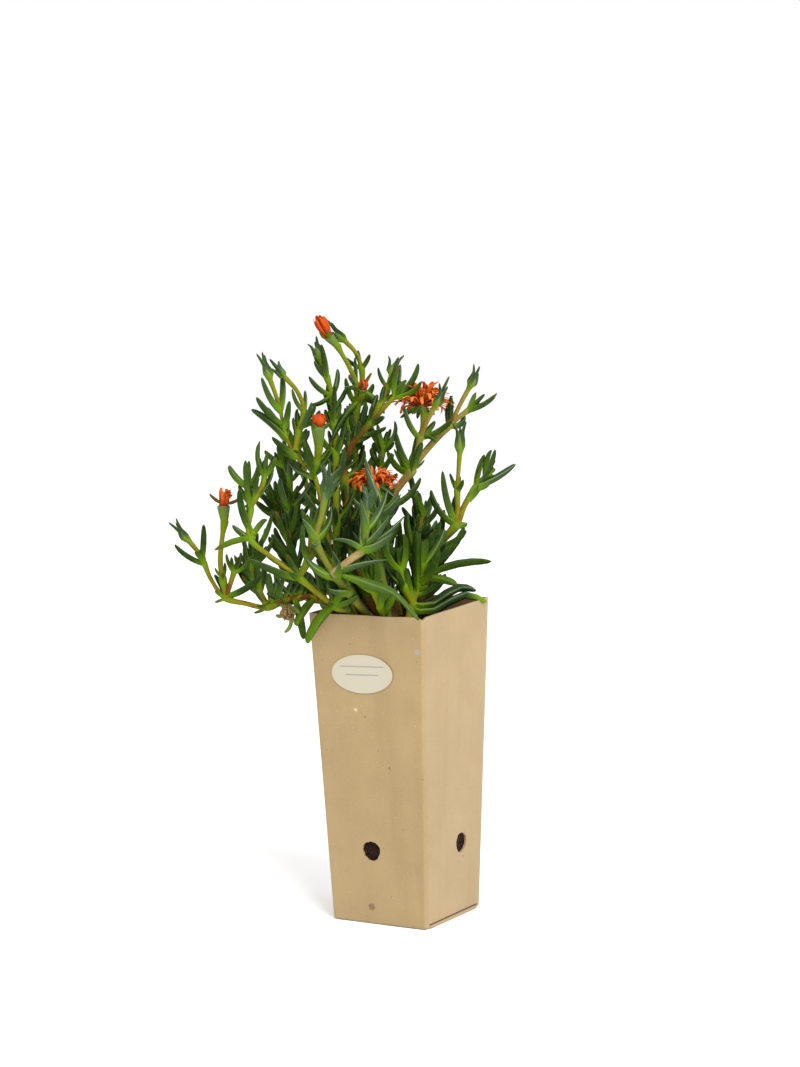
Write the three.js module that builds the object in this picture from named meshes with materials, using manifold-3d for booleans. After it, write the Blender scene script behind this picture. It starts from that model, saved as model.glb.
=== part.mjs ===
// A malephora in flower in a tall folded card pot. Millimetres, +Z up, origin under the middle of the pot.
import * as THREE from 'three';
import { mergeVertices } from 'three/addons/utils/BufferGeometryUtils.js';
import Module from 'manifold-3d';

const wasm = await Module();
wasm.setup();
const { degToRad } = THREE.MathUtils;

// Card pot
const POT_HEIGHT = 218.5;
const POT_TOP = 92;
const POT_FOOT = 75.5;
const CARD = 1.5;
const BASE = 2;
const RIM_RISE_X = 0.0185;
const RIM_RISE_Y = 0.0163;
const DRAIN_RADIUS = 6.5;
const DRAIN_SIDES = 16;
const DRAINS = [
  { face: 0, along: -3.5, height: 52 },
  { face: 1, along: 10, height: 54 },
  { face: 2, along: 2, height: 53 },
  { face: 3, along: -5, height: 53 },
];
const SLIT = { width: 66, height: 1, depth: 12 };
const FLAP = { proud: 0.7, depth: 4 };

// Label on the front face
const LABEL = { width: 49, height: 27, thick: 0.5, along: -4, centre: 177, tilt: -2, sides: 36 };

// Soil, and the feet of the stems in it
const SOIL_TOP = 208;
const SOIL_FOOT = 2.4;
const SOIL_RELIEF = 2.2;
const SEAT_GAP = 0.3;
const FOOT_DEPTH = 14;
const FOOT_OVERLAP = 0.5;
const HOLE_SIDES = 6;
const SOIL_CELLS = 6;

// How far a cutting body reaches past what it cuts
const CUT_OVER = 20;

// The plant is turned so that its X runs across the view and its Y away from it
const PLANT_TURN = degToRad(31);
const CLEARANCE = 0.5;
const LEAF_SIDES = 3;
const STEM_SIDES = 4;
const HEAD_SIDES = 5;

// Leaves: outlines as [place along it, share of its width]; a longer leaf is stouter
const LEAF_SHAPE = [[0, 0], [0.11, 0.82], [0.42, 1], [0.78, 0.76], [1, 0]];
const SHORT_SHAPE = [[0, 0], [0.15, 0.9], [0.62, 0.9], [1, 0]];
const TINY_SHAPE = [[0, 0], [0.4, 1], [1, 0]];
const SHORT_LEAF = 34;
const TINY_LEAF = 20;
const LEAF_WIDTH = { base: 1, share: 0.125 };
const VARY = { turn: 24, spread: 16, bend: 30, least: 0.82, length: 0.36 };
const BEND_SHARE = 0.9;
const PAIR = { spread: 48, size: 1, lift: 0.6 };
const AXIL = { chance: 0.1, turn: 70, spread: 34, size: 0.62, lift: 0.4, shift: 3.5 };
const TUFT = [
  { turn: 45, spread: 26, size: 0.8, lift: 0.2, shift: -3.5 },
  { turn: 225, spread: 26, size: 0.8, lift: 0.2, shift: -3.5 },
  { turn: 135, spread: 12, size: 0.55, lift: 0.1, shift: -2 },
];
const TIP_ROOT = 2.5;

// Beads that keep one piece clear of the next: their spacing, least radius, and the root zone of a leaf
const BEAD_STEP = 2.2;
const LEAST_BEAD = 1;
const ROOT_ZONE = 9;

const UP = new THREE.Vector3(0, 0, 1);
const DOWN = new THREE.Vector3(0, 0, -1);

// Stems: routes from the soil, nodes that bear leaf pairs, and what each route ends in
const STEMS = [
  {
    name: 'stem_low_left',
    blades: [
      { from: [-134, -12, 253], to: [-153, -16, 267], bend: 30 },
      { from: [-133, -12, 255], to: [-133, -14, 280], bend: 20 },
      { from: [-120, -15, 229], to: [-94, -22, 245], bend: 30 },
      { from: [-58, -13, 228], to: [-71, -32, 211], bend: -30, width: 5 },
      { from: [-72, -17, 227], to: [-66, -29, 201], bend: -20, width: 4.6 },
    ],
    routes: [
      { path: [[-40, -8, 211], [-46, -9, 220], [-61, -14, 228], [-76, -17, 227], [-91, -18, 222],
        [-106, -17, 225], [-120, -15, 229], [-129, -12, 241], [-134, -12, 254], [-138, -10, 261],
        [-142, -9, 266]],
        thick: [2.3, 1.1], nodes: [4, 6, 8], leaf: 25, turn: 80, end: 'bud' },
      { path: [[-120, -15, 229], [-121, -17, 243], [-122, -20, 256], [-120, -22, 272], [-118, -22, 283]],
        thick: [1.6, 1.2], nodes: [1], leaf: 18, turn: 10, end: 'bloom_left' },
      { path: [[-91, -18, 222], [-97, -12, 233], [-101, -6, 247], [-98, 2, 262]],
        thick: [1.7, 1.2], nodes: [1, 2, 3], leaf: 24, turn: 20, end: 'tuft' },
      { path: [[-120, -15, 229], [-115, -20, 241], [-112, -22, 250]],
        thick: [1.5, 1.1], nodes: [2], leaf: 18, turn: 30, end: 'tuft' },
      { path: [[-78, -17, 227], [-79, -21, 223], [-79, -22, 220]],
        thick: [1.4, 1.2], nodes: [], leaf: 14, turn: 0, end: 'stalk' },
    ],
  },
  {
    name: 'stem_front_left',
    blades: [
      { from: [-45, -34, 224], to: [-63, -47, 201], bend: -35, width: 5.8 },
      { from: [-68, -48, 246], to: [-100, -58, 261], bend: 12, width: 5 },
      { from: [-100, -50, 273], to: [-126, -56, 271], bend: -30, width: 5 },
      { from: [-101, -49, 276], to: [-106, -51, 308], bend: 30 },
    ],
    routes: [
      { path: [[-30, -20, 211], [-35, -26, 219], [-44, -33, 224], [-56, -40, 235], [-67, -48, 246],
        [-84, -50, 260], [-100, -50, 275], [-99, -48, 295], [-100, -46, 312]],
        thick: [2.5, 1.3], nodes: [1, 2, 4, 6, 7, 8], leaf: 30, turn: 60, end: 'tuft' },
      { path: [[-99, -48, 295], [-95, -51, 303], [-90, -54, 311], [-88, -55, 320]],
        thick: [1.6, 1.1], nodes: [1, 3], leaf: 22, turn: 80, end: 'tuft' },
      { path: [[-67, -48, 246], [-61, -44, 258], [-59, -40, 270], [-58, -38, 280]],
        thick: [1.7, 1.2], nodes: [1, 3], leaf: 26, turn: 0, end: 'tuft' },
    ],
  },
  {
    name: 'stem_mid_left',
    blades: [
      { from: [-74, 14, 287], to: [-83, 12, 319], bend: -20, width: 4.6 },
    ],
    routes: [
      { path: [[-36, 6, 211], [-44, 10, 224], [-60, 12, 232], [-72, 12, 244], [-76, 14, 268], [-74, 14, 287],
        [-74, 12, 305], [-77, 10, 319]],
        thick: [2.3, 1.2], nodes: [3, 4, 5, 6, 7], leaf: 28, turn: 30, end: 'tuft' },
    ],
  },
  {
    name: 'stem_upper_left',
    blades: [
      { from: [-78, -12, 347], to: [-94, -16, 367], bend: 25 },
      { from: [-76, -12, 337], to: [-98, -8, 358], bend: -25 },
    ],
    routes: [
      { path: [[-29, -6, 211], [-36, -6, 226], [-45, -10, 253], [-51, -14, 285], [-56, -16, 312],
        [-70, -14, 328], [-76, -12, 345], [-78, -10, 357], [-81, -10, 368], [-84, -10, 377]],
        thick: [2.6, 1.1], nodes: [1, 2, 3, 4, 5, 6, 7], leaf: 27, turn: 40, end: 'bud' },
      { path: [[-56, -16, 312], [-54, -19, 322], [-52, -22, 332]],
        thick: [1.6, 1.3], nodes: [1], leaf: 18, turn: 70, end: 'bloom_dome' },
      { path: [[-70, -14, 328], [-66, -8, 342], [-62, -6, 356], [-66, -6, 369], [-74, -6, 379]],
        thick: [1.5, 1.0], nodes: [1, 2], leaf: 20, turn: 0, end: 'bud' },
    ],
  },
  {
    name: 'stem_trunk',
    blades: [
      { from: [-45, 1, 378], to: [-54, -3, 390], bend: 25 },
      { from: [-43, 2, 366], to: [-58, -6, 360], bend: 50 },
    ],
    routes: [
      { path: [[-22, 4, 211], [-34, 3, 230], [-42, 2, 251], [-42, 0, 279], [-42, 0, 307], [-41, 2, 326],
        [-42, 2, 348], [-43, 2, 366], [-46, 0, 379], [-49, 0, 389]],
        thick: [2.8, 1.2], nodes: [1, 2, 3, 4, 5, 6, 7, 8], leaf: 26, turn: 10, end: 'bud' },
    ],
  },
  {
    name: 'stem_pink',
    blades: [
      { from: [1, -10, 365], to: [17, -12, 387], bend: 50 },
      { from: [1, -10, 365], to: [5, -3, 386], bend: 30 },
    ],
    routes: [
      { path: [[-14, -8, 211], [-24, 2, 232], [-32, 10, 262], [-36, 9, 308], [-31, 4, 329], [-15, -5, 348],
        [-6, -8, 358], [2, -10, 366]],
        thick: [2.4, 1.2], nodes: [1, 2, 3, 5, 7], leaf: 27, turn: 20, end: 'tuft' },
      { path: [[-15, -5, 348], [-9, -6, 360], [-4, -3, 371], [-2, -2, 377]],
        thick: [1.5, 1.1], nodes: [1, 2], leaf: 18, turn: 50, end: 'bud' },
    ],
  },
  {
    name: 'stem_tall',
    blades: [
      { from: [-26, 10, 360], to: [-47, -8, 325], bend: -40, width: 4.4 },
      { from: [-25, 11, 362], to: [-7, 2, 352], bend: -70, width: 4 },
    ],
    routes: [
      { path: [[-16, 18, 211], [-21, 22, 236], [-26, 22, 262], [-28, 20, 304], [-27, 16, 336],
        [-25, 12, 360]],
        thick: [2.5, 1.5], nodes: [1, 2, 3, 4, 5], leaf: 27, turn: 0, end: 'none' },
      { path: [[-25, 12, 360], [-26, 9, 372], [-30, 5, 384], [-35, 0, 394], [-38, -2, 400]],
        thick: [1.5, 1.1], nodes: [1], leaf: 17, turn: 30, end: 'bloom_top' },
      { path: [[-25, 12, 360], [-22, 15, 372], [-22, 15, 383], [-26, 14, 394], [-32, 13, 401]],
        thick: [1.4, 1.0], nodes: [2], leaf: 17, turn: 0, end: 'bud' },
      { path: [[-25, 12, 360], [-22, 7, 364], [-21, 5, 367]],
        thick: [1.4, 1.2], nodes: [], leaf: 15, turn: 0, end: 'bloom_small' },
    ],
  },
  {
    name: 'stem_mid_right',
    routes: [
      { path: [[0, 18, 211], [-8, 24, 240], [-12, 26, 275], [-12, 22, 300], [-10, 20, 316], [-8, 18, 329]],
        thick: [2.2, 1.2], nodes: [1, 2, 3, 4, 5], leaf: 27, turn: 0, end: 'tuft' },
      { path: [[-8, 24, 240], [4, 18, 252], [14, 12, 268], [19, 10, 283]],
        thick: [1.7, 1.2], nodes: [1, 2], leaf: 28, turn: 30, end: 'tuft' },
    ],
  },
  {
    name: 'stem_right_top',
    blades: [
      { from: [52, 6, 352], to: [71, 4, 364], bend: 30 },
      { from: [11, -4, 313], to: [1, -9, 340], bend: 30, width: 4.8 },
      { from: [18, -6, 336], to: [41, -13, 351], bend: 45, width: 4.4 },
      { from: [38, 4, 342], to: [39, -6, 364], bend: 30 },
    ],
    routes: [
      { path: [[-4, -2, 211], [-8, 1, 236], [-10, 2, 261], [-7, 0, 288], [3, -2, 303], [11, -4, 313],
        [15, -5, 326], [18, -6, 337]],
        thick: [2.5, 1.5], nodes: [1, 2, 3, 5, 7], leaf: 30, turn: 10, end: 'none' },
      { path: [[18, -6, 337], [20, -4, 345], [21, -2, 352]],
        thick: [1.5, 1.3], nodes: [], leaf: 18, turn: 0, end: 'bloom_right' },
      { path: [[18, -6, 337], [22, -14, 347], [27, -20, 357]],
        thick: [1.4, 1.1], nodes: [], leaf: 18, turn: 0, end: 'bud' },
      { path: [[11, -4, 313], [24, 0, 329], [38, 4, 343], [46, 5, 349], [52, 6, 353]],
        thick: [1.9, 1.2], nodes: [2, 4], leaf: 24, turn: 10, end: 'tuft' },
      { path: [[38, 4, 343], [42, 3, 350], [46, 2, 358], [51, 0, 367]],
        thick: [1.3, 1.0], nodes: [], leaf: 18, turn: 0, end: 'bud' },
    ],
  },
  {
    name: 'stem_right',
    blades: [
      { from: [41, -2, 274], to: [24, -5, 299], bend: 50, width: 4.8 },
      { from: [41, -2, 275], to: [32, -6, 312], bend: 30, width: 4.6 },
      { from: [56, 5, 300], to: [83, 8, 314], bend: 20, width: 4.6 },
      { from: [50, 3, 290], to: [69, 4, 325], bend: 30, width: 4.6 },
    ],
    routes: [
      { path: [[12, -4, 211], [16, -1, 226], [21, 2, 243], [29, 0, 260], [41, -2, 274], [47, 2, 287],
        [55, 4, 299], [64, 6, 308]],
        thick: [2.4, 1.2], nodes: [2, 3, 4, 6, 7], leaf: 30, turn: 20, end: 'tuft' },
      { path: [[41, -2, 274], [42, -3, 286], [42, -4, 298], [43, -5, 310], [44, -6, 321]],
        thick: [1.4, 1.0], nodes: [2], leaf: 16, turn: 0, end: 'bud' },
    ],
  },
  {
    name: 'stem_fan',
    blades: [
      { from: [10, -20, 222], to: [52, 8, 223], bend: -14, width: 5.4 },
      { from: [9, -21, 219], to: [52, 6, 215], bend: -10, width: 5 },
      { from: [15, -21, 240], to: [64, -18, 250], bend: -40, width: 5.6 },
      { from: [16, -22, 243], to: [46, -14, 274], bend: 35, width: 5.4 },
      { from: [17, -23, 246], to: [36, -28, 263], bend: 30, width: 5 },
      { from: [12, -21, 231], to: [40, -34, 237], bend: -40, width: 5 },
      { from: [13, -21, 232], to: [13, -36, 275], bend: 25, width: 5.8 },
      { from: [8, -21, 224], to: [-8, -30, 266], bend: -35, width: 6.2 },
    ],
    routes: [
      { path: [[6, -22, 211], [9, -20, 222], [14, -20, 237], [18, -24, 252]],
        thick: [2.4, 1.4], nodes: [1, 2, 3], leaf: 38, turn: 0, end: 'tuft' },
      { path: [[9, -20, 222], [3, -26, 236], [1, -30, 250]],
        thick: [1.8, 1.3], nodes: [1, 2], leaf: 32, turn: 40, end: 'tuft' },
    ],
  },
  {
    name: 'stem_front',
    blades: [
      { from: [-43, -53, 249], to: [13, -74, 219], bend: -35, width: 6.4 },
      { from: [-42, -53, 249], to: [-7, -68, 260], bend: -16, width: 5 },
      { from: [-23, -60, 267], to: [5, -58, 288], bend: 30, width: 4.8 },
      { from: [-23, -61, 267], to: [-5, -68, 290], bend: 30 },
      { from: [-24, -60, 267], to: [-43, -70, 275], bend: -40 },
      { from: [-55, -55, 272], to: [-58, -78, 274], bend: 40 },
    ],
    routes: [
      { path: [[-18, -24, 211], [-26, -30, 222], [-35, -42, 236], [-44, -52, 249]],
        thick: [2.4, 1.8], nodes: [2, 3], leaf: 32, turn: 20, end: 'none' },
      { path: [[-44, -52, 249], [-31, -58, 260], [-23, -61, 267], [-21, -64, 280], [-20, -67, 292]],
        thick: [1.8, 1.2], nodes: [2, 3], leaf: 30, turn: 10, end: 'bud' },
      { path: [[-44, -52, 249], [-51, -54, 262], [-55, -55, 274], [-51, -52, 288], [-49, -50, 297]],
        thick: [1.7, 1.5], nodes: [2], leaf: 26, turn: 60, end: 'big_bud' },
    ],
  },
  {
    name: 'stem_centre',
    routes: [
      { path: [[-8, -18, 211], [-10, -26, 232], [-13, -33, 256], [-14, -36, 275], [-12, -38, 288],
        [-12, -39, 299]],
        thick: [2.2, 1.4], nodes: [1, 2, 3, 4], leaf: 30, turn: 0, end: 'bloom_centre' },
    ],
  },
  {
    name: 'stem_low_front',
    routes: [
      { path: [[-8, -34, 211], [-13, -40, 224], [-17, -45, 236], [-19, -47, 247]],
        thick: [2.0, 1.4], nodes: [1, 2, 3], leaf: 32, turn: 60, end: 'tuft' },
    ],
  },
  {
    name: 'stem_back_left',
    routes: [
      { path: [[-28, 22, 211], [-36, 34, 230], [-50, 48, 256], [-60, 58, 282], [-66, 64, 306],
        [-70, 66, 324]],
        thick: [2.3, 1.2], nodes: [1, 2, 3, 4, 5], leaf: 28, turn: 0, end: 'tuft' },
      { path: [[-50, 48, 256], [-64, 48, 264], [-80, 46, 276], [-88, 44, 288]],
        thick: [1.7, 1.2], nodes: [2, 3], leaf: 24, turn: 0, end: 'tuft' },
    ],
  },
  {
    name: 'stem_back_mid',
    routes: [
      { path: [[-8, 32, 211], [-12, 42, 232], [-20, 52, 262], [-24, 58, 294], [-30, 60, 322], [-34, 60, 342]],
        thick: [2.3, 1.2], nodes: [1, 2, 3, 4, 5], leaf: 27, turn: 20, end: 'tuft' },
    ],
  },
  {
    name: 'stem_back_right',
    routes: [
      { path: [[10, 28, 211], [15, 38, 230], [18, 48, 256], [14, 56, 284], [8, 60, 306]],
        thick: [2.2, 1.2], nodes: [1, 2, 3, 4], leaf: 28, turn: 0, end: 'tuft' },
    ],
  },
  {
    name: 'stem_back_low',
    routes: [
      { path: [[-6, 44, 211], [-12, 56, 226], [-20, 70, 234], [-30, 84, 243], [-36, 92, 256]],
        thick: [2.0, 1.2], nodes: [2, 3, 4], leaf: 26, turn: 30, end: 'tuft' },
    ],
  },
];

// Blooms: petals from the tightest to the widest angle off the flower's axis
const BLOOMS = {
  bloom_top: { petals: 7, length: 17, angles: [2, 9], curl: -0.1, sepals: 3, sepalAngle: 24 },
  bloom_left: { petals: 7, length: 11, angles: [8, 42], curl: 0.2, sepals: 3, sepalAngle: 62 },
  bloom_dome: { petals: 7, length: 9, angles: [5, 55], curl: 0.9, sepals: 3, sepalAngle: 60 },
  bloom_small: { petals: 5, length: 8, angles: [4, 26], curl: 0.1, sepals: 2, sepalAngle: 48 },
  bloom_right: { petals: 16, length: 18, angles: [32, 112], curl: -0.9, sepals: 4, sepalAngle: 118 },
  bloom_centre: { petals: 16, length: 18, angles: [30, 100], curl: -0.8, sepals: 4, sepalAngle: 118 },
};
const PETAL = { width: 1.9, flat: 0.65, rootShift: 1.5, least: 0.78, vary: 0.3 };
const PETAL_OUTLINE = [[0, 0], [0.25, 0.5], [0.7, 0.55], [1, 0]];
const CORE = { height: 3, outline: [[0, 0], [0, 2.2], [0.6, 2.4], [1, 1.2], [1, 0]] };

// Cups under blooms, and closed buds: outlines as [place along it, radius]
const CUP = {
  height: 9, radius: 3.6, sepal: 11,
  outline: [[0, 0], [0, 1], [0.45, 2.6], [0.85, 3.6], [1, 3.2], [1, 0]],
};
const BUD = {
  height: 13, radius: 3.2, sepal: 12, sepals: 3,
  outline: [[0, 0], [0.3, 2.6], [0.54, 3.2], [0.82, 1.7], [1, 0]],
};
const BIG_BUD = 1.35;
const SEPAL = { width: 3.2, seat: 0.55, least: 0.6, vary: 0.8, tight: 14, curl: 0.35, droop: -0.3 };
const HEAD_ROOT = 1;

// Withered bloom that hangs under the low stem
const WITHERED = { height: 8, outline: [[0, 0], [0, 1], [0.4, 3.2], [0.85, 3.6], [1, 1.6], [1, 0]] };
const WITHERED_TIPS = {
  count: 6, length: 12, width: 2.2, seat: 1.2, angles: [12, 50], curl: 0.9, least: 0.7, vary: 0.5,
};

// Repeatable numbers from 0 to 1
const SEED = 4801;
const SEED_STEP = 977;

function seeded(seed) {
  let state = seed;
  return () => {
    state = (state * 16807) % 2147483647;
    return state / 2147483647;
  };
}

function vec(point) {
  return new THREE.Vector3(...point);
}

// The direction that leaves one axis for another by an angle
function leaning(along, aside, angle) {
  return along.clone().multiplyScalar(Math.cos(angle)).addScaledVector(aside, Math.sin(angle));
}

// Half the pot's outer width at a height
function potHalf(z) {
  return (POT_FOOT + ((POT_TOP - POT_FOOT) * z) / POT_HEIGHT) / 2;
}

function rimHeight(x, y) {
  return POT_HEIGHT + RIM_RISE_X * x + RIM_RISE_Y * y;
}

// A circular arc that starts along one direction and turns towards another
class Arc extends THREE.Curve {
  constructor(start, heading, towards, length, bend) {
    super();
    this.start = start;
    this.ahead = heading.clone().normalize();
    this.aside = towards.clone().addScaledVector(this.ahead, -towards.dot(this.ahead)).normalize();
    this.length = length;
    this.bend = Math.abs(bend) < 0.02 ? 0.02 : bend;
    this.across = new THREE.Vector3().crossVectors(this.ahead, this.aside);
  }

  getPoint(t) {
    const radius = this.length / this.bend;
    const turned = this.bend * t;
    return this.start.clone()
      .addScaledVector(this.ahead, radius * Math.sin(turned))
      .addScaledVector(this.aside, radius * (1 - Math.cos(turned)));
  }

  getTangent(t) {
    const turned = this.bend * t;
    return this.ahead.clone().multiplyScalar(Math.cos(turned)).addScaledVector(this.aside, Math.sin(turned));
  }
}

// A stem's centre line: straight between places midway from node to node, so that it bends at its nodes
class StemLine extends THREE.Curve {
  constructor(path) {
    super();
    const smooth = new THREE.CatmullRomCurve3(path.map(vec), false, 'catmullrom', 0.5);
    const last = path.length - 1;
    this.places = [0];
    for (let i = 0.5; i < last; i += 1) {
      this.places.push(i / last);
    }
    this.places.push(1);
    this.rings = this.places.map((t) => smooth.getPoint(t));
    this.tangents = this.places.map((t) => smooth.getTangent(t));
    const run = this.rings[this.rings.length - 1].clone().sub(this.rings[0]);
    const level = new THREE.Vector3(run.y, -run.x, 0);
    this.across = level.length() > 1 ? level.normalize() : new THREE.Vector3(0, 1, 0);
  }

  blend(list, t) {
    const i = Math.max(1, this.places.findIndex((place) => place >= t));
    const [a, b] = [this.places[i - 1], this.places[i]];
    return list[i - 1].clone().lerp(list[i], (t - a) / (b - a));
  }

  getPoint(t) {
    return this.blend(this.rings, t);
  }

  getTangent(t) {
    return this.blend(this.tangents, t).normalize();
  }
}

// The place nearest to a point on any of the lines
function nearestOf(lines, point) {
  let best = lines[0].rings[0];
  for (const { rings } of lines) {
    for (let i = 1; i < rings.length; i += 1) {
      const piece = new THREE.Line3(rings[i - 1], rings[i]);
      const near = piece.closestPointToPoint(point, true, new THREE.Vector3());
      best = near.distanceTo(point) < best.distanceTo(point) ? near : best;
    }
  }
  return best;
}

// The lines of a stem's routes; each side route starts on the axis of the one that bears it
function stemLines(stem) {
  const lines = [];
  for (const route of stem.routes) {
    const first = lines.length ? nearestOf(lines, vec(route.path[0])).toArray() : route.path[0];
    lines.push(new StemLine([first, ...route.path.slice(1)]));
  }
  return lines;
}

// Closed body along a curve: the profile lists [place along it, radius]
function sweep(curve, profile, sides, flat = 1) {
  const outline = profile.map(([t, radius]) => new THREE.Vector2(radius, t));
  const shape = new THREE.LatheGeometry(outline, sides);
  const at = shape.getAttribute('position');
  for (let i = 0; i < at.count; i += 1) {
    const t = at.getY(i);
    const along = curve.getTangent(t);
    const upper = new THREE.Vector3().crossVectors(curve.across, along).normalize();
    const side = new THREE.Vector3().crossVectors(upper, along);
    const point = curve.getPoint(t)
      .addScaledVector(side, at.getX(i))
      .addScaledVector(upper, -at.getZ(i) * flat);
    at.setXYZ(i, point.x, point.y, point.z);
  }
  return toSolid(shape);
}

function toSolid(geometry) {
  const bare = new THREE.BufferGeometry();
  bare.setAttribute('position', geometry.getAttribute('position'));
  bare.setIndex(geometry.getIndex());
  const merged = mergeVertices(bare, 1e-4);
  const index = merged.getIndex().array;
  const corners = [];
  for (let i = 0; i < index.length; i += 3) {
    const [a, b, c] = [index[i], index[i + 1], index[i + 2]];
    if (a !== b && b !== c && c !== a) {
      corners.push(a, b, c);
    }
  }
  return new wasm.Manifold(new wasm.Mesh({
    numProp: 3,
    vertProperties: new Float32Array(merged.getAttribute('position').array),
    triVerts: new Uint32Array(corners),
  }));
}

// The triangles of the outer surface alone: hollows that joining sealed are filled and loose scraps dropped
function outerSurface(corners, count) {
  const owner = Array.from({ length: count }, (_, i) => i);
  const find = (i) => {
    let top = i;
    while (owner[top] !== top) {
      owner[top] = owner[owner[top]];
      top = owner[top];
    }
    return top;
  };
  for (let i = 0; i < corners.length; i += 3) {
    owner[find(corners[i + 1])] = find(corners[i]);
    owner[find(corners[i + 2])] = find(corners[i]);
  }
  const shells = new Map();
  for (let i = 0; i < corners.length; i += 3) {
    const shell = find(corners[i]);
    shells.set(shell, [...(shells.get(shell) ?? []), corners[i], corners[i + 1], corners[i + 2]]);
  }
  return [...shells.values()].reduce((big, shell) => (shell.length > big.length ? shell : big));
}

function toGeometry(solid) {
  const mesh = solid.getMesh();
  const geometry = new THREE.BufferGeometry();
  geometry.setAttribute('position', new THREE.BufferAttribute(new Float32Array(mesh.vertProperties), 3));
  geometry.setIndex(outerSurface(mesh.triVerts, mesh.vertProperties.length / 3));
  geometry.computeVertexNormals();
  return geometry;
}

function unite(solids) {
  return solids.reduce((whole, piece) => whole.add(piece));
}

// What already stands, as beads along every stem, leaf and petal
const beads = [];

function beadsAlong(curve, length, radiusAt, owner) {
  const count = Math.max(2, Math.ceil(length / BEAD_STEP));
  const made = [];
  for (let i = 0; i <= count; i += 1) {
    const t = i / count;
    made.push({ at: curve.getPoint(t), radius: Math.max(LEAST_BEAD, radiusAt(t)), owner });
  }
  return made;
}

function clearOfPot(bead) {
  const { x, y, z } = bead.at;
  const rowX = x * Math.cos(PLANT_TURN) - y * Math.sin(PLANT_TURN);
  const rowY = x * Math.sin(PLANT_TURN) + y * Math.cos(PLANT_TURN);
  const reach = bead.radius + CLEARANCE;
  const out = Math.max(Math.abs(rowX), Math.abs(rowY));
  if (z - reach > rimHeight(rowX, rowY) || out - reach > potHalf(z)) {
    return true;
  }
  return out + reach < potHalf(z) - CARD && z - reach > SOIL_TOP;
}

function touches(made, others) {
  return made.some((bead) => others.some((other) => {
    const reach = bead.radius + other.radius + CLEARANCE;
    return bead.at.distanceToSquared(other.at) < reach * reach;
  }));
}

function leafWidth(length) {
  return LEAF_WIDTH.base + LEAF_WIDTH.share * length;
}

function leafShape(length) {
  if (length < TINY_LEAF) {
    return TINY_SHAPE;
  }
  return length < SHORT_LEAF ? SHORT_SHAPE : LEAF_SHAPE;
}

// A leaf's radius at a place along it: from its axis to a corner of its three-sided section
function leafRadius(shape, width, t) {
  const last = shape.findIndex(([place]) => place >= t && place > 0);
  const [a, b] = [shape[last - 1], shape[last]];
  return (width / Math.sqrt(3)) * (a[1] + ((b[1] - a[1]) * (t - a[0])) / (b[0] - a[0]));
}

// The leaf, if it stands clear of the pot, of other pieces and of its own stem's other leaves
function fitLeaf(owner, curve, width, ownToo) {
  const root = curve.start;
  const shape = leafShape(curve.length);
  const made = beadsAlong(curve, curve.length, (t) => leafRadius(shape, width, t), owner);
  const away = (bead) => bead.at.distanceTo(root) > ROOT_ZONE;
  const others = beads.filter((bead) => bead.owner !== owner);
  const own = beads.filter((bead) => bead.owner === owner && away(bead));
  if (!made.every(clearOfPot) || touches(made, others) || (ownToo && touches(made.filter(away), own))) {
    return null;
  }
  beads.push(...made);
  return { curve, width, shape };
}

// Ways a leaf may stand, best first: turned about the stem and spread from it in degrees, share of its length
const TRIES = [
  { turn: 0, spread: 0, size: 1 },
  { turn: 22, spread: 0, size: 1 },
  { turn: -22, spread: 0, size: 1 },
  { turn: 0, spread: -16, size: 0.95 },
  { turn: 0, spread: 14, size: 0.95 },
  { turn: 40, spread: -6, size: 0.9 },
  { turn: -40, spread: -6, size: 0.9 },
  { turn: 15, spread: -20, size: 0.8 },
  { turn: -15, spread: -20, size: 0.8 },
  { turn: 60, spread: 0, size: 0.75 },
  { turn: -60, spread: 0, size: 0.75 },
  { turn: 0, spread: -10, size: 0.65 },
];
const LEAST_SPREAD = 8;

function growLeaf(owner, stemPoint, along, across, leaf) {
  const upward = along.clone().addScaledVector(UP, leaf.lift);
  for (const choice of TRIES) {
    const turned = across.clone().applyAxisAngle(along, degToRad(leaf.turn + choice.turn));
    const root = stemPoint.clone().addScaledVector(turned, leaf.offset);
    const spread = degToRad(Math.max(LEAST_SPREAD, leaf.spread + choice.spread));
    const heading = leaning(along, turned, spread);
    const curve = new Arc(root, heading, upward, leaf.length * choice.size, leaf.bend);
    const grown = fitLeaf(owner, curve, leaf.width, true);
    if (grown) {
      return grown;
    }
  }
  return null;
}

// A leaf from the stem's axis to a chosen tip; with a negative bend it arches over
const BLADE_SIZES = [1, 0.92, 0.84, 0.76];

function growBlade(stem, blade) {
  const from = nearestOf(stem.lines, vec(blade.from));
  const chord = vec(blade.to).sub(from);
  const half = degToRad(blade.bend) / 2;
  const reach = (chord.length() * half) / Math.sin(half);
  chord.normalize();
  const aside = UP.clone().addScaledVector(chord, -chord.z).normalize();
  const heading = leaning(chord, aside, -half);
  for (const size of BLADE_SIZES) {
    const curve = new Arc(from, heading, UP, reach * size, 2 * half * size);
    const grown = fitLeaf(stem.name, curve, blade.width ?? leafWidth(reach), false);
    if (grown) {
      return grown;
    }
  }
  return null;
}

function leafSolid(leaf) {
  const profile = leaf.shape.map(([t, r]) => [t, (r * leaf.width) / Math.sqrt(3)]);
  return sweep(leaf.curve, profile, LEAF_SIDES);
}

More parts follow.
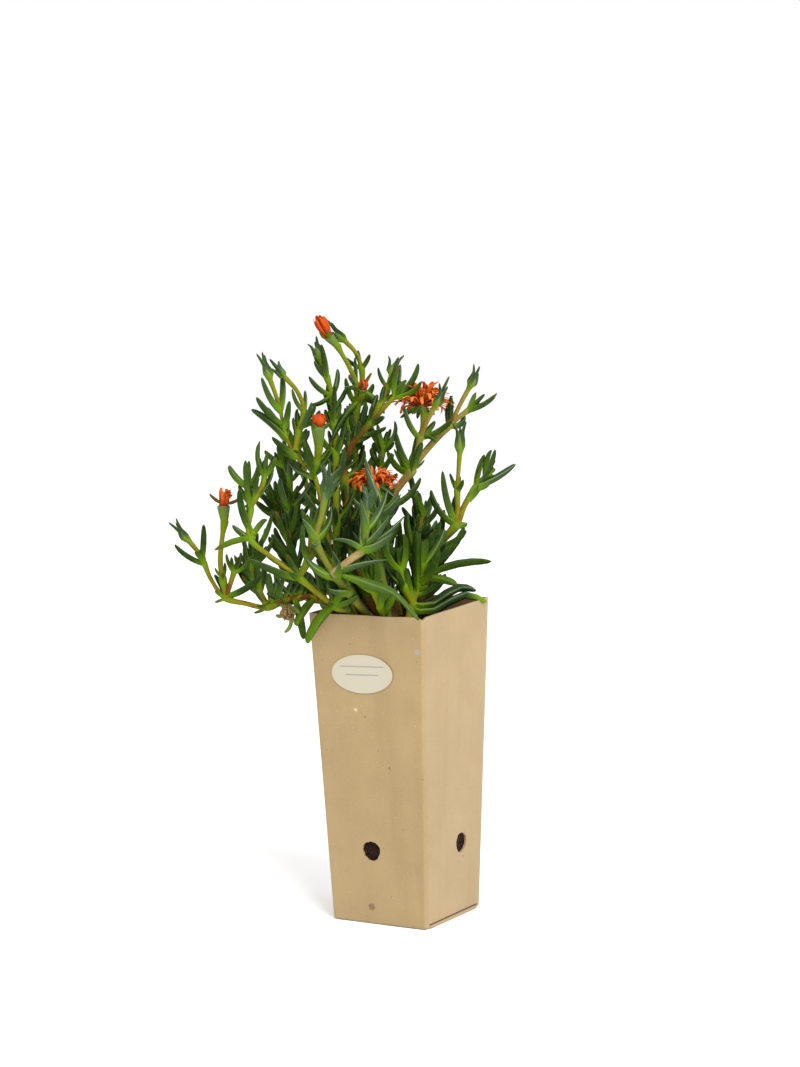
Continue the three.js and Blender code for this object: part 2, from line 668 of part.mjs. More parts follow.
// The leaves of one route, from its lowest node to its tip
function routeLeaves(owner, route, line, draw) {
  const last = route.path.length - 1;
  const reach = line.getLength();
  const grown = [];
  const grow = (place, turn, way) => {
    const [a, b, c] = [draw(), draw(), draw()];
    const t = Math.min(1 - TIP_ROOT / reach, place / last + (way.shift ?? 0) / reach);
    const along = line.getTangent(t);
    const across = new THREE.Vector3().crossVectors(along, line.across).normalize();
    grown.push(growLeaf(owner, line.getPoint(t), along, across, {
      turn: turn + VARY.turn * (a - 0.5),
      spread: way.spread + VARY.spread * (b - 0.5),
      length: route.leaf * way.size * (VARY.least + VARY.length * c),
      width: leafWidth(route.leaf * way.size),
      bend: degToRad(BEND_SHARE * way.spread + VARY.bend * (c - 0.5)),
      offset: 0.5 * (route.thick[0] + (route.thick[1] - route.thick[0]) * t),
      lift: way.lift,
    }));
  };
  route.nodes.forEach((place, i) => {
    const turn = route.turn + 90 * (i % 2);
    grow(place, turn, PAIR);
    grow(place, turn + 180, PAIR);
    if (draw() < AXIL.chance) {
      grow(place, turn + AXIL.turn, AXIL);
      grow(place, turn + AXIL.turn + 180, AXIL);
    }
  });
  if (route.end === 'tuft') {
    TUFT.forEach((way) => grow(last, route.turn + way.turn, way));
  }
  return grown.filter((leaf) => leaf);
}

// A closed bud with its sepals, or the green cup under a bloom
function flowerHead(owner, route, line, draw) {
  const along = line.getTangent(1);
  const across = line.across.clone();
  const bloom = BLOOMS[route.end];
  const kind = bloom ? CUP : BUD;
  const scale = route.end === 'big_bud' ? BIG_BUD : 1;
  const tip = line.getPoint(1).addScaledVector(along, -HEAD_ROOT);
  const axis = new Arc(tip, along, across, kind.height * scale, 0);
  const solids = [sweep(axis, kind.outline.map(([t, radius]) => [t, radius * scale]), HEAD_SIDES)];
  beads.push(...beadsAlong(axis, kind.height * scale, () => kind.radius * scale, owner));
  const count = bloom ? bloom.sepals : kind.sepals;
  for (let i = 0; i < count; i += 1) {
    const length = kind.sepal * scale * (SEPAL.least + SEPAL.vary * draw());
    const angle = degToRad(bloom ? bloom.sepalAngle : SEPAL.tight * (1 + draw()));
    const turned = across.clone().applyAxisAngle(along, (2 * Math.PI * i) / count + draw());
    const heading = leaning(along, turned, angle);
    const root = axis.getPoint(0.5).addScaledVector(turned, kind.radius * scale * SEPAL.seat);
    const curl = bloom && bloom.sepalAngle > 90 ? SEPAL.droop : SEPAL.curl;
    const sepal = new Arc(root, heading, along, length, curl);
    solids.push(leafSolid({ curve: sepal, width: SEPAL.width, shape: TINY_SHAPE }));
    beads.push(...beadsAlong(sepal, length, (t) => leafRadius(TINY_SHAPE, SEPAL.width, t), owner));
  }
  return { solids, top: axis.getPoint(1), along, across };
}

// The petals of one bloom on a small core, seated in its cup
function petals(name, head, draw) {
  const bloom = BLOOMS[name];
  const seat = head.top.clone().addScaledVector(head.along, SEAT_GAP);
  const core = new Arc(seat, head.along, head.across, CORE.height, 0);
  const solids = [sweep(core, CORE.outline, HEAD_SIDES)];
  const profile = PETAL_OUTLINE.map(([t, r]) => [t, r * PETAL.width]);
  const golden = Math.PI * (3 - Math.sqrt(5));
  for (let i = 0; i < bloom.petals; i += 1) {
    const share = (i + 0.5) / bloom.petals;
    const angle = degToRad(bloom.angles[0] + (bloom.angles[1] - bloom.angles[0]) * share);
    const turned = head.across.clone().applyAxisAngle(head.along, i * golden);
    const heading = leaning(head.along, turned, angle);
    const length = bloom.length * (PETAL.least + PETAL.vary * draw());
    const from = core.getPoint(0.5).addScaledVector(turned, PETAL.rootShift * Math.abs(Math.cos(angle)));
    const petal = new Arc(from, heading, head.along, length, bloom.curl * (0.6 + 0.8 * draw()));
    solids.push(sweep(petal, profile, LEAF_SIDES, PETAL.flat));
    beads.push(...beadsAlong(petal, length, () => 1, name));
  }
  return unite(solids);
}

// The brown remains of a bloom, hanging from the end of their stalk
function withered(line, draw) {
  const along = line.getTangent(1);
  const seat = line.getPoint(1).addScaledVector(along, SEAT_GAP);
  const body = new Arc(seat, along, line.across, WITHERED.height, 0);
  const solids = [sweep(body, WITHERED.outline, HEAD_SIDES)];
  beads.push(...beadsAlong(body, WITHERED.height, () => WITHERED.outline[3][1], 'withered_bloom'));
  const [tight, wide] = WITHERED_TIPS.angles;
  for (let i = 0; i < WITHERED_TIPS.count; i += 1) {
    const angle = degToRad(tight + (wide - tight) * draw());
    const around = (2 * Math.PI * i) / WITHERED_TIPS.count + 0.5 * draw();
    const turned = line.across.clone().applyAxisAngle(along, around);
    const heading = leaning(along, turned, angle);
    const length = WITHERED_TIPS.length * (WITHERED_TIPS.least + WITHERED_TIPS.vary * draw());
    const from = body.getPoint(0.6).addScaledVector(turned, WITHERED_TIPS.seat);
    const tip = new Arc(from, heading, DOWN, length, WITHERED_TIPS.curl * draw());
    solids.push(leafSolid({ curve: tip, width: WITHERED_TIPS.width, shape: TINY_SHAPE }));
    beads.push(...beadsAlong(tip, length, () => 1, 'withered_bloom'));
  }
  return unite(solids);
}

// Stems stand first, then flower heads, then the leaves that have to fit between them
const heads = [];
STEMS.forEach((stem, s) => {
  stem.draw = seeded(SEED + SEED_STEP * s);
  stem.lines = stemLines(stem);
  stem.solids = stem.routes.map(({ thick: [thick, thin] }, r) => {
    const line = stem.lines[r];
    const radiusAt = (t) => thick + (thin - thick) * t;
    beads.push(...beadsAlong(line, line.getLength(), radiusAt, stem.name));
    return sweep(line, [[0, 0], ...line.places.map((t) => [t, radiusAt(t)]), [1, 0]], STEM_SIDES);
  });
});
for (const stem of STEMS) {
  stem.routes.forEach((route, r) => {
    const line = stem.lines[r];
    if (route.end.includes('bud') || route.end in BLOOMS) {
      const head = flowerHead(stem.name, route, line, stem.draw);
      stem.solids.push(...head.solids);
      if (route.end in BLOOMS) {
        heads.push({ name: route.end, solid: petals(route.end, head, stem.draw), material: 'petal' });
      }
    }
    if (route.end === 'stalk') {
      heads.push({ name: 'withered_bloom', solid: withered(line, stem.draw), material: 'withered' });
    }
  });
}
for (const stem of STEMS) {
  const grown = (stem.blades ?? []).map((blade) => growBlade(stem, blade)).filter((blade) => blade);
  stem.solids.push(...grown.map(leafSolid));
}
for (const stem of STEMS) {
  stem.routes.forEach((route, r) => {
    const grown = routeLeaves(stem.name, route, stem.lines[r], stem.draw);
    stem.solids.push(...grown.map(leafSolid));
  });
}

const materials = {
  card: new THREE.MeshStandardMaterial({ color: 0xc4a878, roughness: 0.85, metalness: 0 }),
  paper: new THREE.MeshStandardMaterial({ color: 0xddd7c0, roughness: 0.6, metalness: 0 }),
  soil: new THREE.MeshStandardMaterial({ color: 0x2a1c18, roughness: 1, metalness: 0 }),
  leaf: new THREE.MeshStandardMaterial({ color: 0x3f6a3a, roughness: 0.5, metalness: 0 }),
  petal: new THREE.MeshStandardMaterial({ color: 0xe2521b, roughness: 0.5, metalness: 0 }),
  withered: new THREE.MeshStandardMaterial({ color: 0x7a5a34, roughness: 0.8, metalness: 0 }),
};

const group = new THREE.Group();
const plant = new THREE.Group();
plant.rotation.z = PLANT_TURN;
group.add(plant);

function place(name, solid, material, parent = group) {
  const mesh = new THREE.Mesh(toGeometry(solid), material);
  mesh.name = name;
  parent.add(mesh);
}

// Square tapered block with its top cut to the rim's slope
function taperedBlock(low, high, inset, sloped) {
  const height = high - low;
  const shape = new THREE.CylinderGeometry(
    (potHalf(high) - inset) * Math.SQRT2, (potHalf(low) - inset) * Math.SQRT2, height, 4, 1);
  shape.rotateY(Math.PI / 4);
  shape.rotateX(Math.PI / 2);
  shape.translate(0, 0, low + height / 2);
  const at = shape.getAttribute('position');
  for (let i = 0; i < at.count; i += 1) {
    if (sloped && at.getZ(i) > low + height / 2) {
      at.setZ(i, at.getZ(i) + rimHeight(at.getX(i), at.getY(i)) - POT_HEIGHT);
    }
  }
  return toSolid(shape);
}

function cardPot() {
  let pot = taperedBlock(0, POT_HEIGHT, 0, true);
  pot = pot.subtract(taperedBlock(BASE, POT_HEIGHT + CUT_OVER, CARD, false));
  for (const drain of DRAINS) {
    const drill = new THREE.CylinderGeometry(DRAIN_RADIUS, DRAIN_RADIUS, CUT_OVER, DRAIN_SIDES);
    drill.translate(drain.along, -potHalf(drain.height), drain.height);
    drill.rotateZ((drain.face * Math.PI) / 2);
    pot = pot.subtract(toSolid(drill));
  }
  const slit = new THREE.BoxGeometry(SLIT.depth, SLIT.width, SLIT.height);
  slit.translate(potHalf(0), 0, BASE + SLIT.height / 2);
  const flap = new THREE.BoxGeometry(FLAP.depth, SLIT.width, BASE);
  flap.translate(potHalf(0) + FLAP.proud - FLAP.depth / 2, 0, BASE / 2);
  return pot.subtract(toSolid(slit)).add(toSolid(flap));
}

function label() {
  const oval = new THREE.CylinderGeometry(0.5, 0.5, LABEL.thick, LABEL.sides);
  oval.scale(LABEL.width, 1, LABEL.height);
  oval.rotateY(degToRad(LABEL.tilt));
  oval.translate(0, -LABEL.thick / 2 - SEAT_GAP, 0);
  oval.rotateX(Math.atan2((POT_TOP - POT_FOOT) / 2, POT_HEIGHT));
  oval.translate(LABEL.along, -potHalf(LABEL.centre), LABEL.centre);
  return toSolid(oval);
}

// The fill stands clear of the card and of every foot; its top is gently uneven between the stems
function soil() {
  const half = potHalf(SOIL_TOP) - CARD - SEAT_GAP;
  const block = new THREE.BoxGeometry(2, 2, 1, SOIL_CELLS, SOIL_CELLS, 1);
  const at = block.getAttribute('position');
  for (let i = 0; i < at.count; i += 1) {
    const top = at.getZ(i) > 0;
    const [x, y] = [at.getX(i) * half, at.getY(i) * half];
    const relief = SOIL_RELIEF * (0.5 + 0.25 * Math.sin(x / 9 + 1) + 0.25 * Math.cos(y / 7 + x / 15));
    const z = top ? SOIL_TOP - relief : SOIL_FOOT;
    const width = potHalf(z) - CARD - SEAT_GAP;
    at.setXYZ(i, at.getX(i) * width, at.getY(i) * width, z);
  }
  let fill = toSolid(block);
  for (const stem of STEMS) {
    const [x, y] = stem.routes[0].path[0];
    const radius = (stem.routes[0].thick[0] + SEAT_GAP) / Math.cos(Math.PI / HOLE_SIDES);
    const bottom = SOIL_TOP - FOOT_DEPTH - SEAT_GAP;
    const height = SOIL_TOP + CUT_OVER - bottom;
    const hole = new THREE.CylinderGeometry(radius, radius, height, HOLE_SIDES);
    hole.rotateX(Math.PI / 2);
    hole.translate(x, y, bottom + height / 2);
    hole.rotateZ(PLANT_TURN);
    fill = fill.subtract(toSolid(hole));
  }
  return fill;
}

function foot(stem) {
  const route = stem.routes[0];
  const [x, y, z] = route.path[0];
  const height = z + FOOT_OVERLAP - (SOIL_TOP - FOOT_DEPTH);
  const post = new THREE.CylinderGeometry(route.thick[0], route.thick[0], height, HEAD_SIDES);
  post.rotateX(Math.PI / 2);
  post.translate(x, y, SOIL_TOP - FOOT_DEPTH + height / 2);
  return toSolid(post);
}

place('card_pot', cardPot(), materials.card);
place('label', label(), materials.paper);
place('soil', soil(), materials.soil);
for (const stem of STEMS) {
  place(stem.name, unite([foot(stem), ...stem.solids]), materials.leaf, plant);
}
for (const head of heads) {
  place(head.name, head.solid, materials[head.material], plant);
}

export default group;
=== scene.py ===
import math

import bmesh
import bpy
import numpy as np
from mathutils import Matrix, Vector, noise


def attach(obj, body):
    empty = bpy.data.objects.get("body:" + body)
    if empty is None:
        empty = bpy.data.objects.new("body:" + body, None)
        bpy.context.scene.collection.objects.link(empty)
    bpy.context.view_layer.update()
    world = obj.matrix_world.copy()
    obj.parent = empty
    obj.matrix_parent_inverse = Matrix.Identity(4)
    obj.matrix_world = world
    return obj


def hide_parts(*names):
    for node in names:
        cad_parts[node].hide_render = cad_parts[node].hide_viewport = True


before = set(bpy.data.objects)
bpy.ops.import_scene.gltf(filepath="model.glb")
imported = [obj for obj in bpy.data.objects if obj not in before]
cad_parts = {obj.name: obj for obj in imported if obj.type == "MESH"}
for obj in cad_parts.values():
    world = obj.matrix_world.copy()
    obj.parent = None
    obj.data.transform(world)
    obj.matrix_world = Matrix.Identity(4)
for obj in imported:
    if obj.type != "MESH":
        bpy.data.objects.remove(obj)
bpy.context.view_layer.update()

# A malephora in flower in a tall folded card pot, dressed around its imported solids. The plant grows by the
# same rules as the solids, from the same plan, and then follows the notes on single heads and leaves.

mm = 0.001
up = np.array([0.0, 0.0, 1.0])
goldenAngle = math.pi * (3 - math.sqrt(5))


# shared helpers

def linear(hexColour):
    # sRGB hex to the linear numbers that sockets hold
    parts = [int(hexColour[i:i + 2], 16) / 255 for i in (1, 3, 5)]
    return tuple(c / 12.92 if c <= 0.04045 else ((c + 0.055) / 1.055) ** 2.4 for c in parts) + (1.0,)


def addObject(name, mesh, *materials):
    piece = bpy.data.objects.new(name, mesh)
    bpy.context.collection.objects.link(piece)
    for material in materials:
        mesh.materials.append(material)
    return piece


def evaluated(piece):
    # a plain mesh of what the modifiers make of a piece
    graph = bpy.context.evaluated_depsgraph_get()
    return bpy.data.meshes.new_from_object(piece.evaluated_get(graph), preserve_all_data_layers=True,
                                           depsgraph=graph)


def bridge(work, first, second):
    # a band of faces from one closed ring of points to the next
    for i in range(len(first)):
        k = (i + 1) % len(first)
        work.faces.new((first[i], first[k], second[k], second[i]))


def toMesh(work, name):
    bmesh.ops.scale(work, vec=(mm, mm, mm), verts=work.verts)
    mesh = bpy.data.meshes.new(name)
    work.to_mesh(mesh)
    work.free()
    return mesh


def addNode(tree, kind, settings=None, links=None, output=0):
    # links gives an input its value or the output that feeds it, and a list feeds it several;
    # one output comes back, or all of them for None
    node = tree.nodes.new(kind)
    for name, value in (settings or {}).items():
        setattr(node, name, value)
    for name, value in (links or {}).items():
        feeds = value if isinstance(value, list) else [value]
        for feed in feeds:
            if isinstance(feed, bpy.types.NodeSocket):
                tree.links.new(feed, node.inputs[name])
            else:
                node.inputs[name].default_value = feed
    return node.outputs[output] if output is not None and node.outputs else node.outputs


def addSteps(tree, made, steps):
    # a step is its name, an operation and its inputs, where a word stands for what is made already
    for label, operation, *inputs in steps:
        values = [made[value] if isinstance(value, str) else value for value in inputs]
        if operation == "SMOOTHSTEP":
            made[label] = addNode(tree, "ShaderNodeMapRange", {"interpolation_type": operation},
                                  dict(zip(("Value", "From Min", "From Max"), values)))
        else:
            made[label] = addNode(tree, "ShaderNodeMath", {"operation": operation}, dict(enumerate(values)))


def newSkin(name, traits, noises):
    # traits are attributes of the piece; a noise is its scale a metre, detail, roughness and any stretch
    material = bpy.data.materials.new(name)
    material.use_nodes = True
    tree = material.node_tree
    tree.nodes.clear()
    made = {"place": addNode(tree, "ShaderNodeTexCoord", None, None, "Object")}
    for label in traits:
        made[label] = addNode(tree, "ShaderNodeAttribute", {"attribute_name": label}, None, "Fac")
    for label, (scale, detail, roughness, *stretch) in noises.items():
        where = made["place"]
        if stretch:
            where = addNode(tree, "ShaderNodeMapping", None, {"Vector": where, "Scale": stretch[0]})
        made[label] = addNode(tree, "ShaderNodeTexNoise", {"noise_dimensions": "3D"}, {
            "Vector": where, "Scale": scale, "Detail": detail, "Roughness": roughness})
    return material, tree, made


def layered(tree, made, look, base, layers):
    # a layer is its colour, what it follows, how strong it is, and where it starts and is full
    colour = linear(look[base])
    for tint, follows, strength, *limits in layers:
        if limits:
            addSteps(tree, made, [("share", "SMOOTHSTEP", follows, *limits)])
            follows = "share"
        if strength != 1:
            addSteps(tree, made, [("share", "MULTIPLY", follows, strength)])
            follows = "share"
        above = made[tint] if tint in made else linear(look[tint])
        colour = addNode(tree, "ShaderNodeMix", {"data_type": "RGBA"},
                         {0: made[follows], 6: colour, 7: above}, 2)
    return colour


def finishSkin(tree, relief, depth, strength, surface, through=0):
    # relief is the height of the bumps, depth their depth in metres, through the light that passes
    surface["Normal"] = addNode(tree, "ShaderNodeBump", None,
                                {"Height": relief, "Distance": depth, "Strength": strength})
    shader = addNode(tree, "ShaderNodeBsdfPrincipled", None, surface)
    if through:
        thin = addNode(tree, "ShaderNodeBsdfTranslucent", None, {"Color": surface["Base Color"]})
        shader = addNode(tree, "ShaderNodeMixShader", None, {0: through, 1: shader, 2: thin})
    addNode(tree, "ShaderNodeOutputMaterial", None, {"Surface": shader})


# the plan of the plant, in millimetres, before it is turned on the pot; a blade is a single leaf that the
# picture shows: its start, tip and bend, and how it looks where that differs

stems = [
    dict(name="stem_low_left",
         blades=[((-134, -12, 253), (-153, -16, 267), 30), ((-133, -12, 255), (-133, -14, 280), 20),
                 ((-120, -15, 229), (-94, -22, 245), 30),
                 ((-58, -13, 228), (-71, -32, 211), -30, dict(width=5, look="bright")),
                 ((-72, -17, 227), (-66, -29, 201), -20, dict(width=4.6, look="bright"))],
         routes=[dict(path=[[-40, -8, 211], [-46, -9, 220], [-61, -14, 228], [-76, -17, 227],
                            [-91, -18, 222], [-106, -17, 225], [-120, -15, 229], [-129, -12, 241],
                            [-134, -12, 254], [-138, -10, 261], [-142, -9, 266]], thick=[2.3, 1.1],
                      nodes=[4, 6, 8], leaf=25, turn=80, end="bud"),
                 dict(path=[[-120, -15, 229], [-121, -17, 243], [-122, -20, 256], [-120, -22, 272],
                            [-118, -22, 283]], thick=[1.6, 1.2], nodes=[1], leaf=18, turn=10,
                      end="bloom_left"),
                 dict(path=[[-91, -18, 222], [-97, -12, 233], [-101, -6, 247], [-98, 2, 262]],
                      thick=[1.7, 1.2], nodes=[1, 2, 3], leaf=24, turn=20, end="tuft"),
                 dict(path=[[-120, -15, 229], [-115, -20, 241], [-112, -22, 250]], thick=[1.5, 1.1],
                      nodes=[2], leaf=18, turn=30, end="tuft"),
                 dict(path=[[-78, -17, 227], [-79, -21, 223], [-79, -22, 220]], thick=[1.4, 1.2], nodes=[],
                      leaf=14, turn=0, end="stalk")]),
    dict(name="stem_front_left",
         blades=[((-45, -34, 224), (-63, -47, 201), -35, dict(width=5.8, look="bright")),
                 ((-68, -48, 246), (-100, -58, 261), 12, dict(width=5)),
                 ((-100, -50, 273), (-126, -56, 271), -30, dict(width=5)),
                 ((-101, -49, 276), (-106, -51, 308), 30)],
         routes=[dict(path=[[-30, -20, 211], [-35, -26, 219], [-44, -33, 224], [-56, -40, 235],
                            [-67, -48, 246], [-84, -50, 260], [-100, -50, 275], [-99, -48, 295],
                            [-100, -46, 312]], thick=[2.5, 1.3], nodes=[1, 2, 4, 6, 7, 8], leaf=30, turn=60,
                      end="tuft"),
                 dict(path=[[-99, -48, 295], [-95, -51, 303], [-90, -54, 311], [-88, -55, 320]],
                      thick=[1.6, 1.1], nodes=[1, 3], leaf=22, turn=80, end="tuft"),
                 dict(path=[[-67, -48, 246], [-61, -44, 258], [-59, -40, 270], [-58, -38, 280]],
                      thick=[1.7, 1.2], nodes=[1, 3], leaf=26, turn=0, end="tuft")]),
    dict(name="stem_mid_left", blades=[((-74, 14, 287), (-83, 12, 319), -20, dict(width=4.6))],
         routes=[dict(path=[[-36, 6, 211], [-44, 10, 224], [-60, 12, 232], [-72, 12, 244], [-76, 14, 268],
                            [-74, 14, 287], [-74, 12, 305], [-77, 10, 319]], thick=[2.3, 1.2],
                      nodes=[3, 4, 5, 6, 7], leaf=28, turn=30, end="tuft")]),
    dict(name="stem_upper_left",
         blades=[((-78, -12, 347), (-94, -16, 367), 25), ((-76, -12, 337), (-98, -8, 358), -25)],
         routes=[dict(path=[[-29, -6, 211], [-36, -6, 226], [-45, -10, 253], [-51, -14, 285],
                            [-56, -16, 312], [-70, -14, 328], [-76, -12, 345], [-78, -10, 357],
                            [-81, -10, 368], [-84, -10, 377]], thick=[2.6, 1.1],
                      nodes=[1, 2, 3, 4, 5, 6, 7], leaf=27, turn=40, end="bud"),
                 dict(path=[[-56, -16, 312], [-54, -19, 322], [-52, -22, 332]], thick=[1.6, 1.3], nodes=[1],
                      leaf=18, turn=70, end="bloom_dome"),
                 dict(path=[[-70, -14, 328], [-66, -8, 342], [-62, -6, 356], [-66, -6, 369],
                            [-74, -6, 379]], thick=[1.5, 1.0], nodes=[1, 2], leaf=20, turn=0, end="bud")]),
    dict(name="stem_trunk",
         blades=[((-45, 1, 378), (-54, -3, 390), 25), ((-43, 2, 366), (-58, -6, 360), 50)],
         routes=[dict(path=[[-22, 4, 211], [-34, 3, 230], [-42, 2, 251], [-42, 0, 279], [-42, 0, 307],
                            [-41, 2, 326], [-42, 2, 348], [-43, 2, 366], [-46, 0, 379], [-49, 0, 389]],
                      thick=[2.8, 1.2], nodes=[1, 2, 3, 4, 5, 6, 7, 8], leaf=26, turn=10, end="bud")]),
    dict(name="stem_pink", blades=[((1, -10, 365), (17, -12, 387), 50), ((1, -10, 365), (5, -3, 386), 30)],
         routes=[dict(path=[[-14, -8, 211], [-24, 2, 232], [-32, 10, 262], [-36, 9, 308], [-31, 4, 329],
                            [-15, -5, 348], [-6, -8, 358], [2, -10, 366]], thick=[2.4, 1.2],
                      nodes=[1, 2, 3, 5, 7], leaf=27, turn=20, end="tuft"),
                 dict(path=[[-15, -5, 348], [-9, -6, 360], [-4, -3, 371], [-2, -2, 377]], thick=[1.5, 1.1],
                      nodes=[1, 2], leaf=18, turn=50, end="bud")]),
    dict(name="stem_tall",
         blades=[((-26, 10, 360), (-47, -8, 325), -40, dict(width=4.4)),
                 ((-25, 11, 362), (-7, 2, 352), -70, dict(width=4))],
         routes=[dict(path=[[-16, 18, 211], [-21, 22, 236], [-26, 22, 262], [-28, 20, 304], [-27, 16, 336],
                            [-25, 12, 360]], thick=[2.5, 1.5], nodes=[1, 2, 3, 4, 5], leaf=27, turn=0,
                      end="none"),
                 dict(path=[[-25, 12, 360], [-26, 9, 372], [-30, 5, 384], [-35, 0, 394], [-38, -2, 400]],
                      thick=[1.5, 1.1], nodes=[1], leaf=17, turn=30, end="bloom_top"),
                 dict(path=[[-25, 12, 360], [-22, 15, 372], [-22, 15, 383], [-26, 14, 394], [-32, 13, 401]],
                      thick=[1.4, 1.0], nodes=[2], leaf=17, turn=0, end="bud"),
                 dict(path=[[-25, 12, 360], [-22, 7, 364], [-21, 5, 367]], thick=[1.4, 1.2], nodes=[],
                      leaf=15, turn=0, end="bloom_small")]),
    dict(name="stem_mid_right",
         routes=[dict(path=[[0, 18, 211], [-8, 24, 240], [-12, 26, 275], [-12, 22, 300], [-10, 20, 316],
                            [-8, 18, 329]], thick=[2.2, 1.2], nodes=[1, 2, 3, 4, 5], leaf=27, turn=0,
                      end="tuft"),
                 dict(path=[[-8, 24, 240], [4, 18, 252], [14, 12, 268], [19, 10, 283]], thick=[1.7, 1.2],
                      nodes=[1, 2], leaf=28, turn=30, end="tuft")]),
    dict(name="stem_right_top",
         blades=[((52, 6, 352), (71, 4, 364), 30), ((11, -4, 313), (1, -9, 340), 30, dict(width=4.8)),
                 ((18, -6, 336), (41, -13, 351), 45, dict(width=4.4)), ((38, 4, 342), (39, -6, 364), 30)],
         routes=[dict(path=[[-4, -2, 211], [-8, 1, 236], [-10, 2, 261], [-7, 0, 288], [3, -2, 303],
                            [11, -4, 313], [15, -5, 326], [18, -6, 337]], thick=[2.5, 1.5],
                      nodes=[1, 2, 3, 5, 7], leaf=30, turn=10, end="none"),
                 dict(path=[[18, -6, 337], [20, -4, 345], [21, -2, 352]], thick=[1.5, 1.3], nodes=[],
                      leaf=18, turn=0, end="bloom_right"),
                 dict(path=[[18, -6, 337], [22, -14, 347], [27, -20, 357]], thick=[1.4, 1.1], nodes=[],
                      leaf=18, turn=0, end="bud"),
                 dict(path=[[11, -4, 313], [24, 0, 329], [38, 4, 343], [46, 5, 349], [52, 6, 353]],
                      thick=[1.9, 1.2], nodes=[2, 4], leaf=24, turn=10, end="tuft"),
                 dict(path=[[38, 4, 343], [42, 3, 350], [46, 2, 358], [51, 0, 367]], thick=[1.3, 1.0],
                      nodes=[], leaf=18, turn=0, end="bud")]),
    dict(name="stem_right",
         blades=[((41, -2, 274), (24, -5, 299), 50, dict(width=4.8)),
                 ((41, -2, 275), (32, -6, 312), 30, dict(width=4.6)),
                 ((56, 5, 300), (83, 8, 314), 20, dict(width=4.6)),
                 ((50, 3, 290), (69, 4, 325), 30, dict(width=4.6))],
         routes=[dict(path=[[12, -4, 211], [16, -1, 226], [21, 2, 243], [29, 0, 260], [41, -2, 274],
                            [47, 2, 287], [55, 4, 299], [64, 6, 308]], thick=[2.4, 1.2],
                      nodes=[2, 3, 4, 6, 7], leaf=30, turn=20, end="tuft"),
                 dict(path=[[41, -2, 274], [42, -3, 286], [42, -4, 298], [43, -5, 310], [44, -6, 321]],
                      thick=[1.4, 1.0], nodes=[2], leaf=16, turn=0, end="bud")]),
    dict(name="stem_fan",
         blades=[((10, -20, 222), (52, 8, 223), -14, dict(width=5.4, look="overRim", reach=(2, 0, 3))),
                 ((9, -21, 219), (52, 6, 215), -10, dict(width=5, look="overRim", reach=(8, 3, 9))),
                 ((15, -21, 240), (64, -18, 250), -40, dict(width=5.6)),
                 ((16, -22, 243), (46, -14, 274), 35, dict(width=5.4)),
                 ((17, -23, 246), (36, -28, 263), 30, dict(width=5)),
                 ((12, -21, 231), (40, -34, 237), -40, dict(width=5)),
                 ((13, -21, 232), (13, -36, 275), 25, dict(width=5.8)),
                 ((8, -21, 224), (-8, -30, 266), -35, dict(width=6.2))],
         routes=[dict(path=[[6, -22, 211], [9, -20, 222], [14, -20, 237], [18, -24, 252]], thick=[2.4, 1.4],
                      nodes=[1, 2, 3], leaf=38, turn=0, end="tuft"),
                 dict(path=[[9, -20, 222], [3, -26, 236], [1, -30, 250]], thick=[1.8, 1.3], nodes=[1, 2],
                      leaf=32, turn=40, end="tuft")]),
    dict(name="stem_front",
         blades=[((-43, -53, 249), (13, -74, 219), -35, dict(width=6.4, look="draped")),
                 ((-42, -53, 249), (-7, -68, 260), -16, dict(width=5)),
                 ((-23, -60, 267), (5, -58, 288), 30, dict(width=4.8)),
                 ((-23, -61, 267), (-5, -68, 290), 30), ((-24, -60, 267), (-43, -70, 275), -40),
                 ((-55, -55, 272), (-58, -78, 274), 40)],
         routes=[dict(path=[[-18, -24, 211], [-26, -30, 222], [-35, -42, 236], [-44, -52, 249]],
                      thick=[2.4, 1.8], nodes=[2, 3], leaf=32, turn=20, end="none"),
                 dict(path=[[-44, -52, 249], [-31, -58, 260], [-23, -61, 267], [-21, -64, 280],
                            [-20, -67, 292]], thick=[1.8, 1.2], nodes=[2, 3], leaf=30, turn=10, end="bud",
                      plump=(0.0, 0.42, 0.2)),
                 dict(path=[[-44, -52, 249], [-51, -54, 262], [-55, -55, 274], [-51, -52, 288],
                            [-49, -50, 297]], thick=[1.7, 1.5], nodes=[2], leaf=26, turn=60,
                      end="big_bud")]),
    dict(name="stem_centre",
         routes=[dict(path=[[-8, -18, 211], [-10, -26, 232], [-13, -33, 256], [-14, -36, 275],
                            [-12, -38, 288], [-12, -39, 299]], thick=[2.2, 1.4], nodes=[1, 2, 3, 4],
                      leaf=30, turn=0, end="bloom_centre")]),
    dict(name="stem_low_front",
         routes=[dict(path=[[-8, -34, 211], [-13, -40, 224], [-17, -45, 236], [-19, -47, 247]],
                      thick=[2.0, 1.4], nodes=[1, 2, 3], leaf=32, turn=60, end="tuft")]),
    dict(name="stem_back_left",
         routes=[dict(path=[[-28, 22, 211], [-36, 34, 230], [-50, 48, 256], [-60, 58, 282], [-66, 64, 306],
                            [-70, 66, 324]], thick=[2.3, 1.2], nodes=[1, 2, 3, 4, 5], leaf=28, turn=0,
                      end="tuft"),
                 dict(path=[[-50, 48, 256], [-64, 48, 264], [-80, 46, 276], [-88, 44, 288]],
                      thick=[1.7, 1.2], nodes=[2, 3], leaf=24, turn=0, end="tuft")]),
    dict(name="stem_back_mid",
         routes=[dict(path=[[-8, 32, 211], [-12, 42, 232], [-20, 52, 262], [-24, 58, 294], [-30, 60, 322],
                            [-34, 60, 342]], thick=[2.3, 1.2], nodes=[1, 2, 3, 4, 5], leaf=27, turn=20,
                      end="tuft")]),
    dict(name="stem_back_right",
         routes=[dict(path=[[10, 28, 211], [15, 38, 230], [18, 48, 256], [14, 56, 284], [8, 60, 306]],
